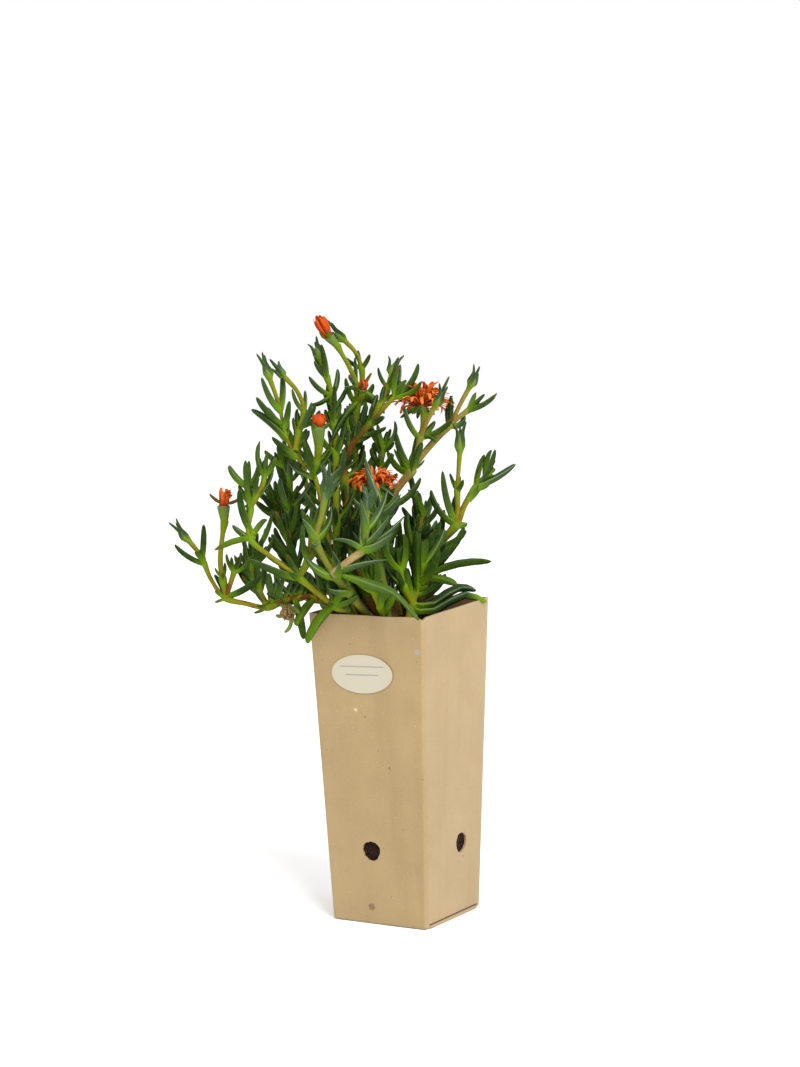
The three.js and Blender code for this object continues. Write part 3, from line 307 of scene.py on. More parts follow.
                      thick=[2.2, 1.2], nodes=[1, 2, 3, 4], leaf=28, turn=0, end="tuft")]),
    dict(name="stem_back_low",
         routes=[dict(path=[[-6, 44, 211], [-12, 56, 226], [-20, 70, 234], [-30, 84, 243], [-36, 92, 256]],
                      thick=[2.0, 1.2], nodes=[2, 3, 4], leaf=26, turn=30, end="tuft")]),
]

blooms = {
    "bloom_top": dict(petals=7, length=17, angles=(2, 9), curl=-0.1, sepals=3, sepalAngle=24),
    "bloom_left": dict(petals=7, length=11, angles=(8, 42), curl=0.2, sepals=3, sepalAngle=62),
    "bloom_dome": dict(petals=7, length=9, angles=(5, 55), curl=0.9, sepals=3, sepalAngle=60),
    "bloom_small": dict(petals=5, length=8, angles=(4, 26), curl=0.1, sepals=2, sepalAngle=48),
    "bloom_right": dict(petals=16, length=18, angles=(32, 112), curl=-0.9, sepals=4, sepalAngle=118),
    "bloom_centre": dict(petals=16, length=18, angles=(30, 100), curl=-0.8, sepals=4, sepalAngle=118),
}

card = {"height": 218.5, "top": 92.0, "foot": 75.5, "thick": 1.5, "riseX": 0.0185, "riseY": 0.0163}
plantTurn = math.radians(31)
growth = {
    "clearance": 0.5,
    "beadStep": 2.2,
    "leastBead": 1.0,
    "rootZone": 9.0,
    "tipRoot": 2.5,
    "soilTop": 208.0,
    "seatGap": 0.3,
    "headRoot": 1.0,
    "bendShare": 0.9,
    "leastSpread": 8.0,
    "shapes": ((20, ((0, 0), (0.4, 1), (1, 0))), (34, ((0, 0), (0.15, 0.9), (0.62, 0.9), (1, 0))),
               (999, ((0, 0), (0.11, 0.82), (0.42, 1), (0.78, 0.76), (1, 0)))),
    "vary": dict(turn=24, spread=16, bend=30, least=0.82, length=0.36),
    "pair": dict(spread=48, size=1, lift=0.6, shift=0),
    "axil": dict(chance=0.1, turn=70, spread=34, size=0.62, lift=0.4, shift=3.5),
    "tuft": (dict(turn=45, spread=26, size=0.8, lift=0.2, shift=-3.5),
             dict(turn=225, spread=26, size=0.8, lift=0.2, shift=-3.5),
             dict(turn=135, spread=12, size=0.55, lift=0.1, shift=-2)),
    "tries": ((0, 0, 1), (22, 0, 1), (-22, 0, 1), (0, -16, 0.95), (0, 14, 0.95), (40, -6, 0.9),
              (-40, -6, 0.9), (15, -20, 0.8), (-15, -20, 0.8), (60, 0, 0.75), (-60, 0, 0.75),
              (0, -10, 0.65)),
    "bladeSizes": (1, 0.92, 0.84, 0.76),
    "cup": dict(height=9, radius=3.6, sepal=11),
    "bud": dict(height=13, radius=3.2, sepal=12, sepals=3),
    "bigBud": 1.35,
    "sepal": dict(width=3.2, seat=0.55, least=0.6, vary=0.8, tight=14, curl=0.35, droop=-0.3),
    "petal": dict(rootShift=1.5, least=0.78, vary=0.3),
    "core": 3,
    "withered": dict(height=8, radius=3.6, count=6, length=12, seat=1.2, angles=(12, 50), curl=0.9,
                     least=0.7, vary=0.5),
}


# growing the plant

def seeded(seed):
    state = seed

    def draw():
        nonlocal state
        state = state * 16807 % 2147483647
        return state / 2147483647
    return draw


def unit(v):
    return v / np.linalg.norm(v)


def turnedBy(v, axis, angle):
    return (v * math.cos(angle) + np.cross(axis, v) * math.sin(angle)
            + axis * np.dot(axis, v) * (1 - math.cos(angle)))


def leaning(along, aside, angle):
    return along * math.cos(angle) + aside * math.sin(angle)


class Arc:
    # starts along one direction and turns towards another
    def __init__(self, start, heading, towards, length, bend):
        self.start = np.array(start, float)
        self.ahead = unit(heading)
        self.aside = unit(towards - self.ahead * np.dot(towards, self.ahead))
        self.length = length
        self.bend = 0.02 if abs(bend) < 0.02 else bend

    def point(self, t):
        radius = self.length / self.bend
        turned = self.bend * t
        return (self.start + self.ahead * radius * math.sin(turned)
                + self.aside * radius * (1 - math.cos(turned)))

    def tangent(self, t):
        return leaning(self.ahead, self.aside, self.bend * t)

    def inner(self, t):
        # the side that faces what the arc turns towards
        return leaning(self.aside, -self.ahead, self.bend * t)


class StemLine:
    # the smooth line through the nodes, and the centre line of the solid, which is straight between places
    # midway from node to node
    def __init__(self, path):
        self.path = np.array(path, float)
        last = len(path) - 1
        self.places = [0.0] + [(i + 0.5) / last for i in range(last)] + [1.0]
        self.rings = [self.smooth(t) for t in self.places]
        self.tangents = [unit(self.smooth(min(1, t + 1e-4)) - self.smooth(max(0, t - 1e-4)))
                         for t in self.places]
        run = self.rings[-1] - self.rings[0]
        level = np.array([run[1], -run[0], 0.0])
        self.across = unit(level) if np.linalg.norm(level) > 1 else np.array([0.0, 1.0, 0.0])
        steps = [self.point(i / 200) for i in range(201)]
        self.length = sum(np.linalg.norm(b - a) for a, b in zip(steps, steps[1:]))

    def smooth(self, t):
        last = len(self.path) - 1
        i = min(int(math.floor(last * t)), last - 1)
        w = last * t - i
        b, c = self.path[i], self.path[i + 1]
        a = self.path[i - 1] if i > 0 else 2 * b - c
        d = self.path[i + 2] if i + 2 <= last else 2 * c - b
        s, e = 0.5 * (c - a), 0.5 * (d - b)
        return b + s * w + (3 * (c - b) - 2 * s - e) * w ** 2 + (2 * (b - c) + s + e) * w ** 3

    def blend(self, values, t):
        i = max(1, next(k for k, place in enumerate(self.places) if place >= t))
        a, b = self.places[i - 1], self.places[i]
        return values[i - 1] + (values[i] - values[i - 1]) * (t - a) / (b - a)

    def point(self, t):
        return self.blend(self.rings, t)

    def tangent(self, t):
        return unit(self.blend(self.tangents, t))


def nearestOf(lines, point):
    best = lines[0].rings[0]
    for line in lines:
        for a, b in zip(line.rings, line.rings[1:]):
            share = np.dot(point - a, b - a) / np.dot(b - a, b - a)
            near = a + (b - a) * min(1, max(0, share))
            if np.linalg.norm(near - point) < np.linalg.norm(best - point):
                best = near
    return best


beads = {"at": np.zeros((0, 3)), "radius": np.zeros(0), "owner": np.zeros(0, object)}


def beadsAlong(curve, length, radiusAt):
    count = max(2, math.ceil(length / growth["beadStep"]))
    places = [i / count for i in range(count + 1)]
    return (np.array([curve.point(t) for t in places]),
            np.array([max(growth["leastBead"], radiusAt(t)) for t in places]))


def stand(owner, at, radius):
    beads["at"] = np.vstack([beads["at"], at])
    beads["radius"] = np.concatenate([beads["radius"], radius])
    beads["owner"] = np.concatenate([beads["owner"], np.full(len(at), owner, object)])


def touches(at, radius, chosen):
    gaps = np.linalg.norm(at[:, None] - beads["at"][None, chosen], axis=2)
    return bool((gaps < radius[:, None] + beads["radius"][None, chosen] + growth["clearance"]).any())


def potHalf(z):
    return (card["foot"] + (card["top"] - card["foot"]) * z / card["height"]) / 2


def onPot(points):
    # from the plan to the pot's own axes
    c, s = math.cos(plantTurn), math.sin(plantTurn)
    points = np.asarray(points, float)
    return np.stack([points[..., 0] * c - points[..., 1] * s, points[..., 0] * s + points[..., 1] * c,
                     points[..., 2]], axis=-1)


def rimHeight(x, y):
    return card["height"] + card["riseX"] * x + card["riseY"] * y


def clearOfPot(at, radius):
    placed = onPot(at)
    reach = radius + growth["clearance"]
    out = np.abs(placed[:, :2]).max(axis=1)
    z = placed[:, 2]
    outside = (z - reach > rimHeight(placed[:, 0], placed[:, 1])) | (out - reach > potHalf(z))
    inside = (out + reach < potHalf(z) - card["thick"]) & (z - reach > growth["soilTop"])
    return bool((outside | inside).all())


def leafWidth(length):
    return 1 + 0.125 * length


def leafRadius(shape, width, t):
    last = next(k for k, row in enumerate(shape) if row[0] >= t and row[0] > 0)
    a, b = shape[last - 1], shape[last]
    return width / math.sqrt(3) * (a[1] + (b[1] - a[1]) * (t - a[0]) / (b[0] - a[0]))


def fitLeaf(owner, curve, width, ownToo):
    shape = next(rows for limit, rows in growth["shapes"] if curve.length < limit)
    at, radius = beadsAlong(curve, curve.length, lambda t: leafRadius(shape, width, t))
    away = np.linalg.norm(at - curve.start, axis=1) > growth["rootZone"]
    others = beads["owner"] != owner
    own = ~others & (np.linalg.norm(beads["at"] - curve.start, axis=1) > growth["rootZone"])
    if not clearOfPot(at, radius) or touches(at, radius, others):
        return None
    if ownToo and touches(at[away], radius[away], own):
        return None
    stand(owner, at, radius)
    return {"curve": curve, "width": width}


def hasRoom(owner, curve, root, radiusAt, near, overlap):
    # whether a small leaf fits; near its root, and elsewhere by a little overlap, it may touch others
    at, radius = beadsAlong(curve, curve.length, radiusAt)
    away = np.linalg.norm(at - root, axis=1) > near
    others = np.linalg.norm(beads["at"] - root, axis=1) > near
    if not clearOfPot(at, radius) or touches(at[away], radius[away] - overlap, others):
        return False
    stand(owner, at, radius)
    return True


def growLeaf(owner, stemPoint, along, across, leaf):
    upward = along + up * leaf["lift"]
    for turn, spread, size in growth["tries"]:
        turned = turnedBy(across, along, math.radians(leaf["turn"] + turn))
        root = stemPoint + turned * leaf["offset"]
        angle = math.radians(max(growth["leastSpread"], leaf["spread"] + spread))
        curve = Arc(root, leaning(along, turned, angle), upward, leaf["length"] * size, leaf["bend"])
        grown = fitLeaf(owner, curve, leaf["width"], True)
        if grown:
            return grown
    return None


def bladeArc(start, tip, bend, size=1):
    # from start towards tip, bending up or down by so many degrees, and the length that reaches the tip
    half = math.radians(bend) / 2
    reach = np.linalg.norm(tip - start) * half / math.sin(half)
    chord = unit(tip - start)
    aside = unit(up - chord * chord[2])
    return Arc(start, leaning(chord, aside, -half), up, reach * size, 2 * half * size), reach


def growBlade(stem, blade):
    start, tip, bend, *notes = blade
    note = notes[0] if notes else {}
    start = nearestOf(stem["lines"], np.array(start, float))
    for size in growth["bladeSizes"]:
        curve, reach = bladeArc(start, np.array(tip, float), bend, size)
        grown = fitLeaf(stem["name"], curve, note.get("width", leafWidth(reach)), False)
        if grown:
            return dict(grown, line=None, look=note.get("look"), reach=note.get("reach", (0, 0, 0)))
    return None


def routeLeaves(owner, route, line, draw):
    last = len(route["path"]) - 1
    vary = growth["vary"]
    grown = []

    def grow(place, turn, way):
        a, b, c = draw(), draw(), draw()
        t = min(1 - growth["tipRoot"] / line.length, place / last + way["shift"] / line.length)
        along = line.tangent(t)
        thick, thin = route["thick"]
        size = route["leaf"] * way["size"]
        leaf = growLeaf(owner, line.point(t), along, unit(np.cross(along, line.across)), {
            "turn": turn + vary["turn"] * (a - 0.5), "spread": way["spread"] + vary["spread"] * (b - 0.5),
            "length": size * (vary["least"] + vary["length"] * c), "width": leafWidth(size),
            "bend": math.radians(growth["bendShare"] * way["spread"] + vary["bend"] * (c - 0.5)),
            "offset": 0.5 * (thick + (thin - thick) * t), "lift": way["lift"]})
        if leaf:
            grown.append(dict(leaf, line=line, t=t, look=None, reach=(0, 0, 0)))

    for i, place in enumerate(route["nodes"]):
        turn = route["turn"] + 90 * (i % 2)
        grow(place, turn, growth["pair"])
        grow(place, turn + 180, growth["pair"])
        axil = growth["axil"]
        if draw() < axil["chance"]:
            grow(place, turn + axil["turn"], axil)
            grow(place, turn + axil["turn"] + 180, axil)
    if route["end"] == "tuft":
        for way in growth["tuft"]:
            grow(last, route["turn"] + way["turn"], way)
    return grown


def flowerHead(owner, route, line, draw):
    # a closed bud with its sepals, or the green cup under a bloom
    along, across = line.tangent(1), line.across
    bloom = blooms.get(route["end"])
    kind = growth["cup" if bloom else "bud"]
    sepal = growth["sepal"]
    scale = growth["bigBud"] if route["end"] == "big_bud" else 1
    axis = Arc(line.point(1) - along * growth["headRoot"], along, across, kind["height"] * scale, 0)
    stand(owner, *beadsAlong(axis, axis.length, lambda t: kind["radius"] * scale))
    count = bloom["sepals"] if bloom else kind["sepals"]
    sepals = []
    for i in range(count):
        length = kind["sepal"] * scale * (sepal["least"] + sepal["vary"] * draw())
        angle = math.radians(bloom["sepalAngle"] if bloom else sepal["tight"] * (1 + draw()))
        turned = turnedBy(across, along, 2 * math.pi * i / count + draw())
        root = axis.point(0.5) + turned * kind["radius"] * scale * sepal["seat"]
        curl = sepal["droop"] if bloom and bloom["sepalAngle"] > 90 else sepal["curl"]
        curve = Arc(root, leaning(along, turned, angle), along, length, curl)
        shape = growth["shapes"][0][1]
        stand(owner, *beadsAlong(curve, length, lambda t: leafRadius(shape, sepal["width"], t)))
        sepals.append(curve)
    return {"axis": axis, "kind": kind, "scale": scale, "bloom": bloom, "sepals": sepals, "along": along,
            "across": across, "top": axis.point(1)}


def petalArcs(name, head, draw):
    bloom, rule = blooms[name], growth["petal"]
    root = head["top"] + head["along"] * growth["seatGap"]
    core = Arc(root, head["along"], head["across"], growth["core"], 0)
    for i in range(bloom["petals"]):
        share = (i + 0.5) / bloom["petals"]
        angle = math.radians(bloom["angles"][0] + (bloom["angles"][1] - bloom["angles"][0]) * share)
        turned = turnedBy(head["across"], head["along"], i * goldenAngle)
        length = bloom["length"] * (rule["least"] + rule["vary"] * draw())
        start = core.point(0.5) + turned * rule["rootShift"] * abs(math.cos(angle))
        curve = Arc(start, leaning(head["along"], turned, angle), head["along"], length,
                    bloom["curl"] * (0.6 + 0.8 * draw()))
        stand(name, *beadsAlong(curve, length, lambda t: 1))


def witheredTips(line, draw):
    rule = growth["withered"]
    along = line.tangent(1)
    body = Arc(line.point(1) + along * growth["seatGap"], along, line.across, rule["height"], 0)
    stand("withered_bloom", *beadsAlong(body, rule["height"], lambda t: rule["radius"]))
    tight, wide = rule["angles"]
    tips = []
    for i in range(rule["count"]):
        angle = math.radians(tight + (wide - tight) * draw())
        turned = turnedBy(line.across, along, 2 * math.pi * i / rule["count"] + 0.5 * draw())
        length = rule["length"] * (rule["least"] + rule["vary"] * draw())
        tip = Arc(body.point(0.6) + turned * rule["seat"], leaning(along, turned, angle), -up, length,
                  rule["curl"] * draw())
        stand("withered_bloom", *beadsAlong(tip, length, lambda t: 1))
        tips.append(tip)
    return {"body": body, "tips": tips}


def growPlant():
    for s, stem in enumerate(stems):
        stem["draw"] = seeded(4801 + 977 * s)
        stem["lines"] = []
        for route in stem["routes"]:
            path = [list(p) for p in route["path"]]
            if stem["lines"]:
                path[0] = list(nearestOf(stem["lines"], np.array(path[0], float)))
            line = StemLine(path)
            stem["lines"].append(line)
            thick, thin = route["thick"]
            stand(stem["name"], *beadsAlong(line, line.length, lambda t: thick + (thin - thick) * t))
    for stem in stems:
        stem["heads"] = []
        for route, line in zip(stem["routes"], stem["lines"]):
            if "bud" in route["end"] or route["end"] in blooms:
                head = flowerHead(stem["name"], route, line, stem["draw"])
                head["thin"] = route["thick"][1]
                stem["heads"].append(head)
                if route["end"] in blooms:
                    petalArcs(route["end"], head, stem["draw"])
                    head["name"] = route["end"]
            if route["end"] == "stalk":
                stem["withered"] = witheredTips(line, stem["draw"])
    for stem in stems:
        grown = [growBlade(stem, blade) for blade in stem.get("blades", [])]
        stem["leaves"] = [leaf for leaf in grown if leaf]
    for stem in stems:
        for route, line in zip(stem["routes"], stem["lines"]):
            stem["leaves"] += routeLeaves(stem["name"], route, line, stem["draw"])


growPlant()
print("grown:", len(stems), "stems,", sum(len(stem["leaves"]) for stem in stems), "leaves")


# skins of the plant

plantSkins = {
    "leafDark": "#1A2D06",
    "leafWax": "#374A32",
    "leafBright": "#44600A",
    "leafBase": "#688A0C",
    # pale colour of the painted highlights on leaf edges and specks, and of the pale streaks on stems
    "leafEdge": "#8C9C7A",
    "leafDry": "#5E4020",
    "stemOlive": "#7A6E0A",
    "stemRed": "#603010",
    "stemYoung": "#5E790C",
    "stemWax": "#516143",
    "stemPink": "#A0604C",
    "stemPale": "#A09A68",
    "petalDeep": "#A02C06",
    "petalMid": "#BE460E",
    "petalLight": "#EE8C3C",
    "dryDark": "#4A2E18",
    "dryLight": "#977B48",
    "dryGreen": "#566E1C",
    "patch": 190.0,       # about 5 mm across
    "mottle": 300.0,      # about 3 mm across
    "speck": 3600.0,      # about 0.3 mm, the size of the leaf's water cells
    "bark": 225.0,        # about 4 mm across
    "streak": 1500.0,     # about 0.7 mm across
    "crinkle": 900.0,     # about 1.1 mm across
}


def makeLeafSkin():
    # succulent leaf with a waxy cuticle: dark blue-green with a pale bloom, thin pale lines along its three
    # edges that are painted highlights, fine pale specks that are painted glints, a bright yellow-green base
    # and a dull, slightly translucent shine
    look = plantSkins
    material, tree, made = newSkin("succulentLeafWaxy", ("tone", "wax", "edge", "glow", "dry"), {
        "mottle": (look["mottle"], 3, 0.5), "speck": (look["speck"], 1, 0.5),
        "patch": (look["patch"], 2, 0.5)})
    addSteps(tree, made, (
        ("patches", "SMOOTHSTEP", "patch", 0.35, 0.8),
        ("bright", "MULTIPLY_ADD", "patches", 0.3, "tone"),
        ("uneven", "MULTIPLY_ADD", "mottle", 1.2, 0.25),
        ("waxy", "MULTIPLY", "wax", "uneven"),
        # the pale edge lines are painted highlights, stronger on waxy leaves
        ("narrow", "POWER", "edge", 3.0),
        ("edgeWax", "MULTIPLY_ADD", "wax", 0.9, 0.06),
        ("edged", "MULTIPLY", "narrow", "edgeWax"),
        ("roughness", "MULTIPLY_ADD", "mottle", 0.25, 0.32),
        ("relief", "ADD", "mottle", "speck")))
    # the pale edge colour paints highlights along the edges and glints in fine specks
    colour = layered(tree, made, look, "leafDark", (
        ("leafBright", "bright", 1), ("leafWax", "waxy", 1), ("leafEdge", "edged", 1),
        ("leafBase", "glow", 1), ("leafEdge", "speck", 0.1, 0.56, 0.72), ("leafDry", "dry", 1)))
    finishSkin(tree, made["relief"], 0.00012, 0.45, {
        "Base Color": colour, "Roughness": made["roughness"], "IOR": 1.45, "Specular IOR Level": 0.02,
        "Subsurface Weight": 0.12, "Subsurface Radius": (0.5, 1.0, 0.25), "Subsurface Scale": 0.0012})
    return material


def makeStemSkin():
    # green bark of a soft stem: olive, turning red-brown on the side that the sun reached and greener at
    # each joint, or a pale pink where it is swollen
    look = plantSkins
    material, tree, made = newSkin("softStemSkin", ("tone", "wax", "edge", "glow", "red", "dry"), {
        "mottle": (look["bark"], 3, 0.5), "streak": (look["streak"], 2, 0.5)})
    addSteps(tree, made, (
        ("side", "SMOOTHSTEP", "edge", 0.1, 0.8),
        ("patches", "SMOOTHSTEP", "mottle", 0.4, 0.7),
        ("sun", "ADD", "side", "patches"),
        ("sunny", "MULTIPLY", "red", "sun"),
        ("relief", "ADD", "mottle", "streak")))
    made["blush"] = layered(tree, made, look, "stemPink", [("stemPale", "streak", 1, 0.35, 0.6)])
    colour = layered(tree, made, look, "stemOlive", (
        ("stemRed", "sunny", 1), ("stemYoung", "glow", 1), ("stemWax", "wax", 1), ("blush", "tone", 1),
        ("leafEdge", "streak", 0.2, 0.55, 0.75), ("leafDry", "dry", 1)))
    finishSkin(tree, made["relief"], 0.00015, 0.5, {
        "Base Color": colour, "Roughness": 0.5, "IOR": 1.45, "Specular IOR Level": 0.03,
        "Subsurface Weight": 0.1, "Subsurface Radius": (0.6, 1.0, 0.25), "Subsurface Scale": 0.001})
    return material


def makePetalSkin():
    # silky petal: saturated orange, deeper at its root and along its veins, lighter towards its end by its
    # tone, partly its own colour and partly painted light, with a soft sheen and some light through it
    look = plantSkins
    material, tree, made = newSkin("silkyPetal", ("along", "tone", "dry"), {"vein": (look["speck"], 1, 0.5)})
    addSteps(tree, made, (
        ("outer", "SMOOTHSTEP", "along", 0.1, 0.7),
        ("lit", "MULTIPLY", "tone", "outer"),
        ("veins", "SMOOTHSTEP", "vein", 0.5, 0.7)))
    colour = layered(tree, made, look, "petalDeep", (
        ("petalMid", "along", 1, 0.0, 0.55), ("petalLight", "lit", 1), ("petalDeep", "veins", 0.2),
        ("dryDark", "dry", 1)))
    finishSkin(tree, made["veins"], 0.0001, 0.4, {
        "Base Color": colour, "Roughness": 0.5, "IOR": 1.4, "Specular IOR Level": 0.15}, through=0.28)
    return material


def makeWitheredSkin():
    # dry, papery bloom: straw and brown with crinkles and no shine
    look = plantSkins
    material, tree, made = newSkin("dryPapery", ("glow",), {"crinkle": (look["crinkle"], 4, 0.65)})
    colour = layered(tree, made, look, "dryDark", (
        ("dryLight", "crinkle", 1, 0.35, 0.65), ("dryGreen", "glow", 1)))
    finishSkin(tree, made["crinkle"], 0.0003, 0.8, {"Base Color": colour, "Roughness": 0.8, "IOR": 1.45})
    return material


leafSkin = makeLeafSkin()
stemSkin = makeStemSkin()
petalSkin = makePetalSkin()
witheredSkin = makeWitheredSkin()


# sweeps that follow the plant's lines

sweepSizes = {
    "Stem sides": 10,
    "Leaf points": 9,
    "Keel depth": 0.5,    # where the middle of each leaf side lies between centre and corner
}
strapSizes = {
    "Strap points": 6,
    "Strap thickness": 0.2,
}


def newGroup(name, inputs):
    tree = bpy.data.node_groups.new(name, "GeometryNodeTree")
    for label, kind in (("Geometry", "Geometry"), *inputs.items()):
        tree.interface.new_socket(label, in_out="INPUT", socket_type="NodeSocket" + kind)
    tree.interface.new_socket("Geometry", in_out="OUTPUT", socket_type="NodeSocketGeometry")
    return tree, addNode(tree, "NodeGroupInput", None, None, None)


def finishGroup(tree, meshes, skins):
    # a skin is its material and which faces wear it
    joined = addNode(tree, "GeometryNodeJoinGeometry", None, {0: meshes})
    smooth = addNode(tree, "GeometryNodeSetShadeSmooth", None, {0: joined})
    result = addNode(tree, "GeometryNodeRealizeInstances", None, {0: smooth})
    for skin, chosen in skins:
        result = addNode(tree, "GeometryNodeSetMaterial", None,
                         {"Geometry": result, "Selection": chosen, "Material": skin})
    addNode(tree, "NodeGroupOutput", None, {"Geometry": result})
    return tree


def roundWave(tree, waves):
    # 1 at so many evenly spaced places round a profile, 0 between them
    made = {"factor": addNode(tree, "GeometryNodeSplineParameter")}
    addSteps(tree, made, (
        ("turn", "MULTIPLY", "factor", 2 * math.pi * waves),
        ("cosine", "COSINE", "turn"),
        ("wave", "MULTIPLY_ADD", "cosine", 0.5, 0.5)))
    return made["wave"]


def guideCurves(tree, geometry):
    curves = addNode(tree, "GeometryNodeMeshToCurve", None, {"Mesh": geometry})
    keel = addNode(tree, "GeometryNodeInputNamedAttribute", {"data_type": "FLOAT_VECTOR"}, {"Name": "keel"})
    return addNode(tree, "GeometryNodeSetCurveNormal", {"mode": "FREE"}, {"Curve": curves, "Normal": keel})


def swept(tree, curves, profile, edge):
    marked = addNode(tree, "GeometryNodeStoreNamedAttribute", {"data_type": "FLOAT", "domain": "POINT"},
                     {"Geometry": profile, "Name": "edge", "Value": edge})
    thickness = addNode(tree, "GeometryNodeInputNamedAttribute", {"data_type": "FLOAT"},
                        {"Name": "thickness"})
    return addNode(tree, "GeometryNodeCurveToMesh", None,
                   {"Curve": curves, "Profile Curve": marked, "Scale": thickness, "Fill Caps": True})


def makeStemTree():
    tree, given = newGroup("sweepStemsAndLeaves", {
        "Stem sides": "Int", "Leaf points": "Int", "Keel depth": "Float", "Stem skin": "Material",
        "Leaf skin": "Material"})
    leafy = addNode(tree, "GeometryNodeInputNamedAttribute", {"data_type": "FLOAT"}, {"Name": "leafy"})
    made = {"leafy": leafy, "keelAlone": roundWave(tree, 1), "corners": roundWave(tree, 3)}
    # the two margins of a leaf are marked for the painted edge highlights, and its keel only faintly
    addSteps(tree, made, (
        ("isLeaf", "GREATER_THAN", "leafy", 0.5),
        ("keel", "POWER", "keelAlone", 2.0),
        ("faint", "MULTIPLY_ADD", "keel", -0.8, 1.0),
        ("margins", "MULTIPLY", "corners", "faint")))
    parted = addNode(tree, "GeometryNodeSeparateGeometry", {"domain": "CURVE"},
                     {"Geometry": guideCurves(tree, given["Geometry"]), "Selection": made["isLeaf"]}, None)
    ring = addNode(tree, "GeometryNodeCurvePrimitiveCircle", {"mode": "RADIUS"},
                   {"Resolution": given["Stem sides"], "Radius": 1.0})
    star = addNode(tree, "GeometryNodeCurveStar", None,
                   {"Points": 3, "Inner Radius": given["Keel depth"], "Outer Radius": 1.0, "Twist": 0.0})
    soft = addNode(tree, "GeometryNodeCurveSplineType", {"spline_type": "CATMULL_ROM"}, {"Curve": star})
    even = addNode(tree, "GeometryNodeResampleCurve", {"mode": "COUNT"},
                   {"Curve": soft, "Count": given["Leaf points"]})
    meshes = [swept(tree, parted["Inverted"], ring, roundWave(tree, 1)),
              swept(tree, parted["Selection"], even, made["margins"])]
    return finishGroup(tree, meshes, ((given["Stem skin"], True), (given["Leaf skin"], made["isLeaf"])))


def makeStrapTree():
    tree, given = newGroup("sweepStraps", {
        "Strap points": "Int", "Strap thickness": "Float", "Strap skin": "Material"})
    ring = addNode(tree, "GeometryNodeCurvePrimitiveCircle", {"mode": "RADIUS"},
                   {"Resolution": given["Strap points"], "Radius": 1.0})
    squash = addNode(tree, "ShaderNodeCombineXYZ", None, {"X": given["Strap thickness"], "Y": 1.0, "Z": 1.0})
    flat = addNode(tree, "GeometryNodeTransform", None, {"Geometry": ring, "Scale": squash})
    mesh = swept(tree, guideCurves(tree, given["Geometry"]), flat, roundWave(tree, 2))
    return finishGroup(tree, [mesh], [(given["Strap skin"], True)])


stemTree, strapTree = makeStemTree(), makeStrapTree()
traitNames = ("thickness", "leafy", "along", "tone", "wax", "glow", "red", "dry")


def newGuide():
    return {"points": [], "keel": [], "links": [], "traits": {name: [] for name in traitNames}}


def addLine(guide, points, keels, **traits):
    first = len(guide["points"])
    guide["points"] += list(points)
    guide["keel"] += list(keels)
    guide["links"] += [(first + i, first + i + 1) for i in range(len(points) - 1)]
    for name in traitNames:
        guide["traits"][name] += list(np.broadcast_to(traits.get(name, 0.0), len(points)).astype(float))


def guideMesh(name, guide):
    mesh = bpy.data.meshes.new(name)
    mesh.from_pydata([tuple(p) for p in onPot(np.array(guide["points"])) * mm], guide["links"], [])
    keel = mesh.attributes.new("keel", "FLOAT_VECTOR", "POINT")
    keel.data.foreach_set("vector", onPot(np.array(guide["keel"])).astype(np.float32).ravel())
    for label, values in guide["traits"].items():
        scale = mm if label == "thickness" else 1.0
        mesh.attributes.new(label, "FLOAT", "POINT").data.foreach_set(
            "value", (np.array(values) * scale).astype(np.float32))
    return mesh


def runNodes(name, mesh, tree, values):
    # the tree's result as a plain mesh object, with the modifier gone
    source = addObject(name + "Guide", mesh)
    modifier = source.modifiers.new("nodes", "NODES")
    modifier.node_group = tree
    for item in tree.interface.items_tree:
        if item.in_out == "INPUT" and item.name in values:
            modifier[item.identifier] = values[item.name]
    made = evaluated(source)
    made.name = name
    bpy.data.objects.remove(source)
    return addObject(name, made)


def settle(piece, slot, *nodes):
    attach(piece, "root")
    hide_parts(*nodes)


# leafy stems

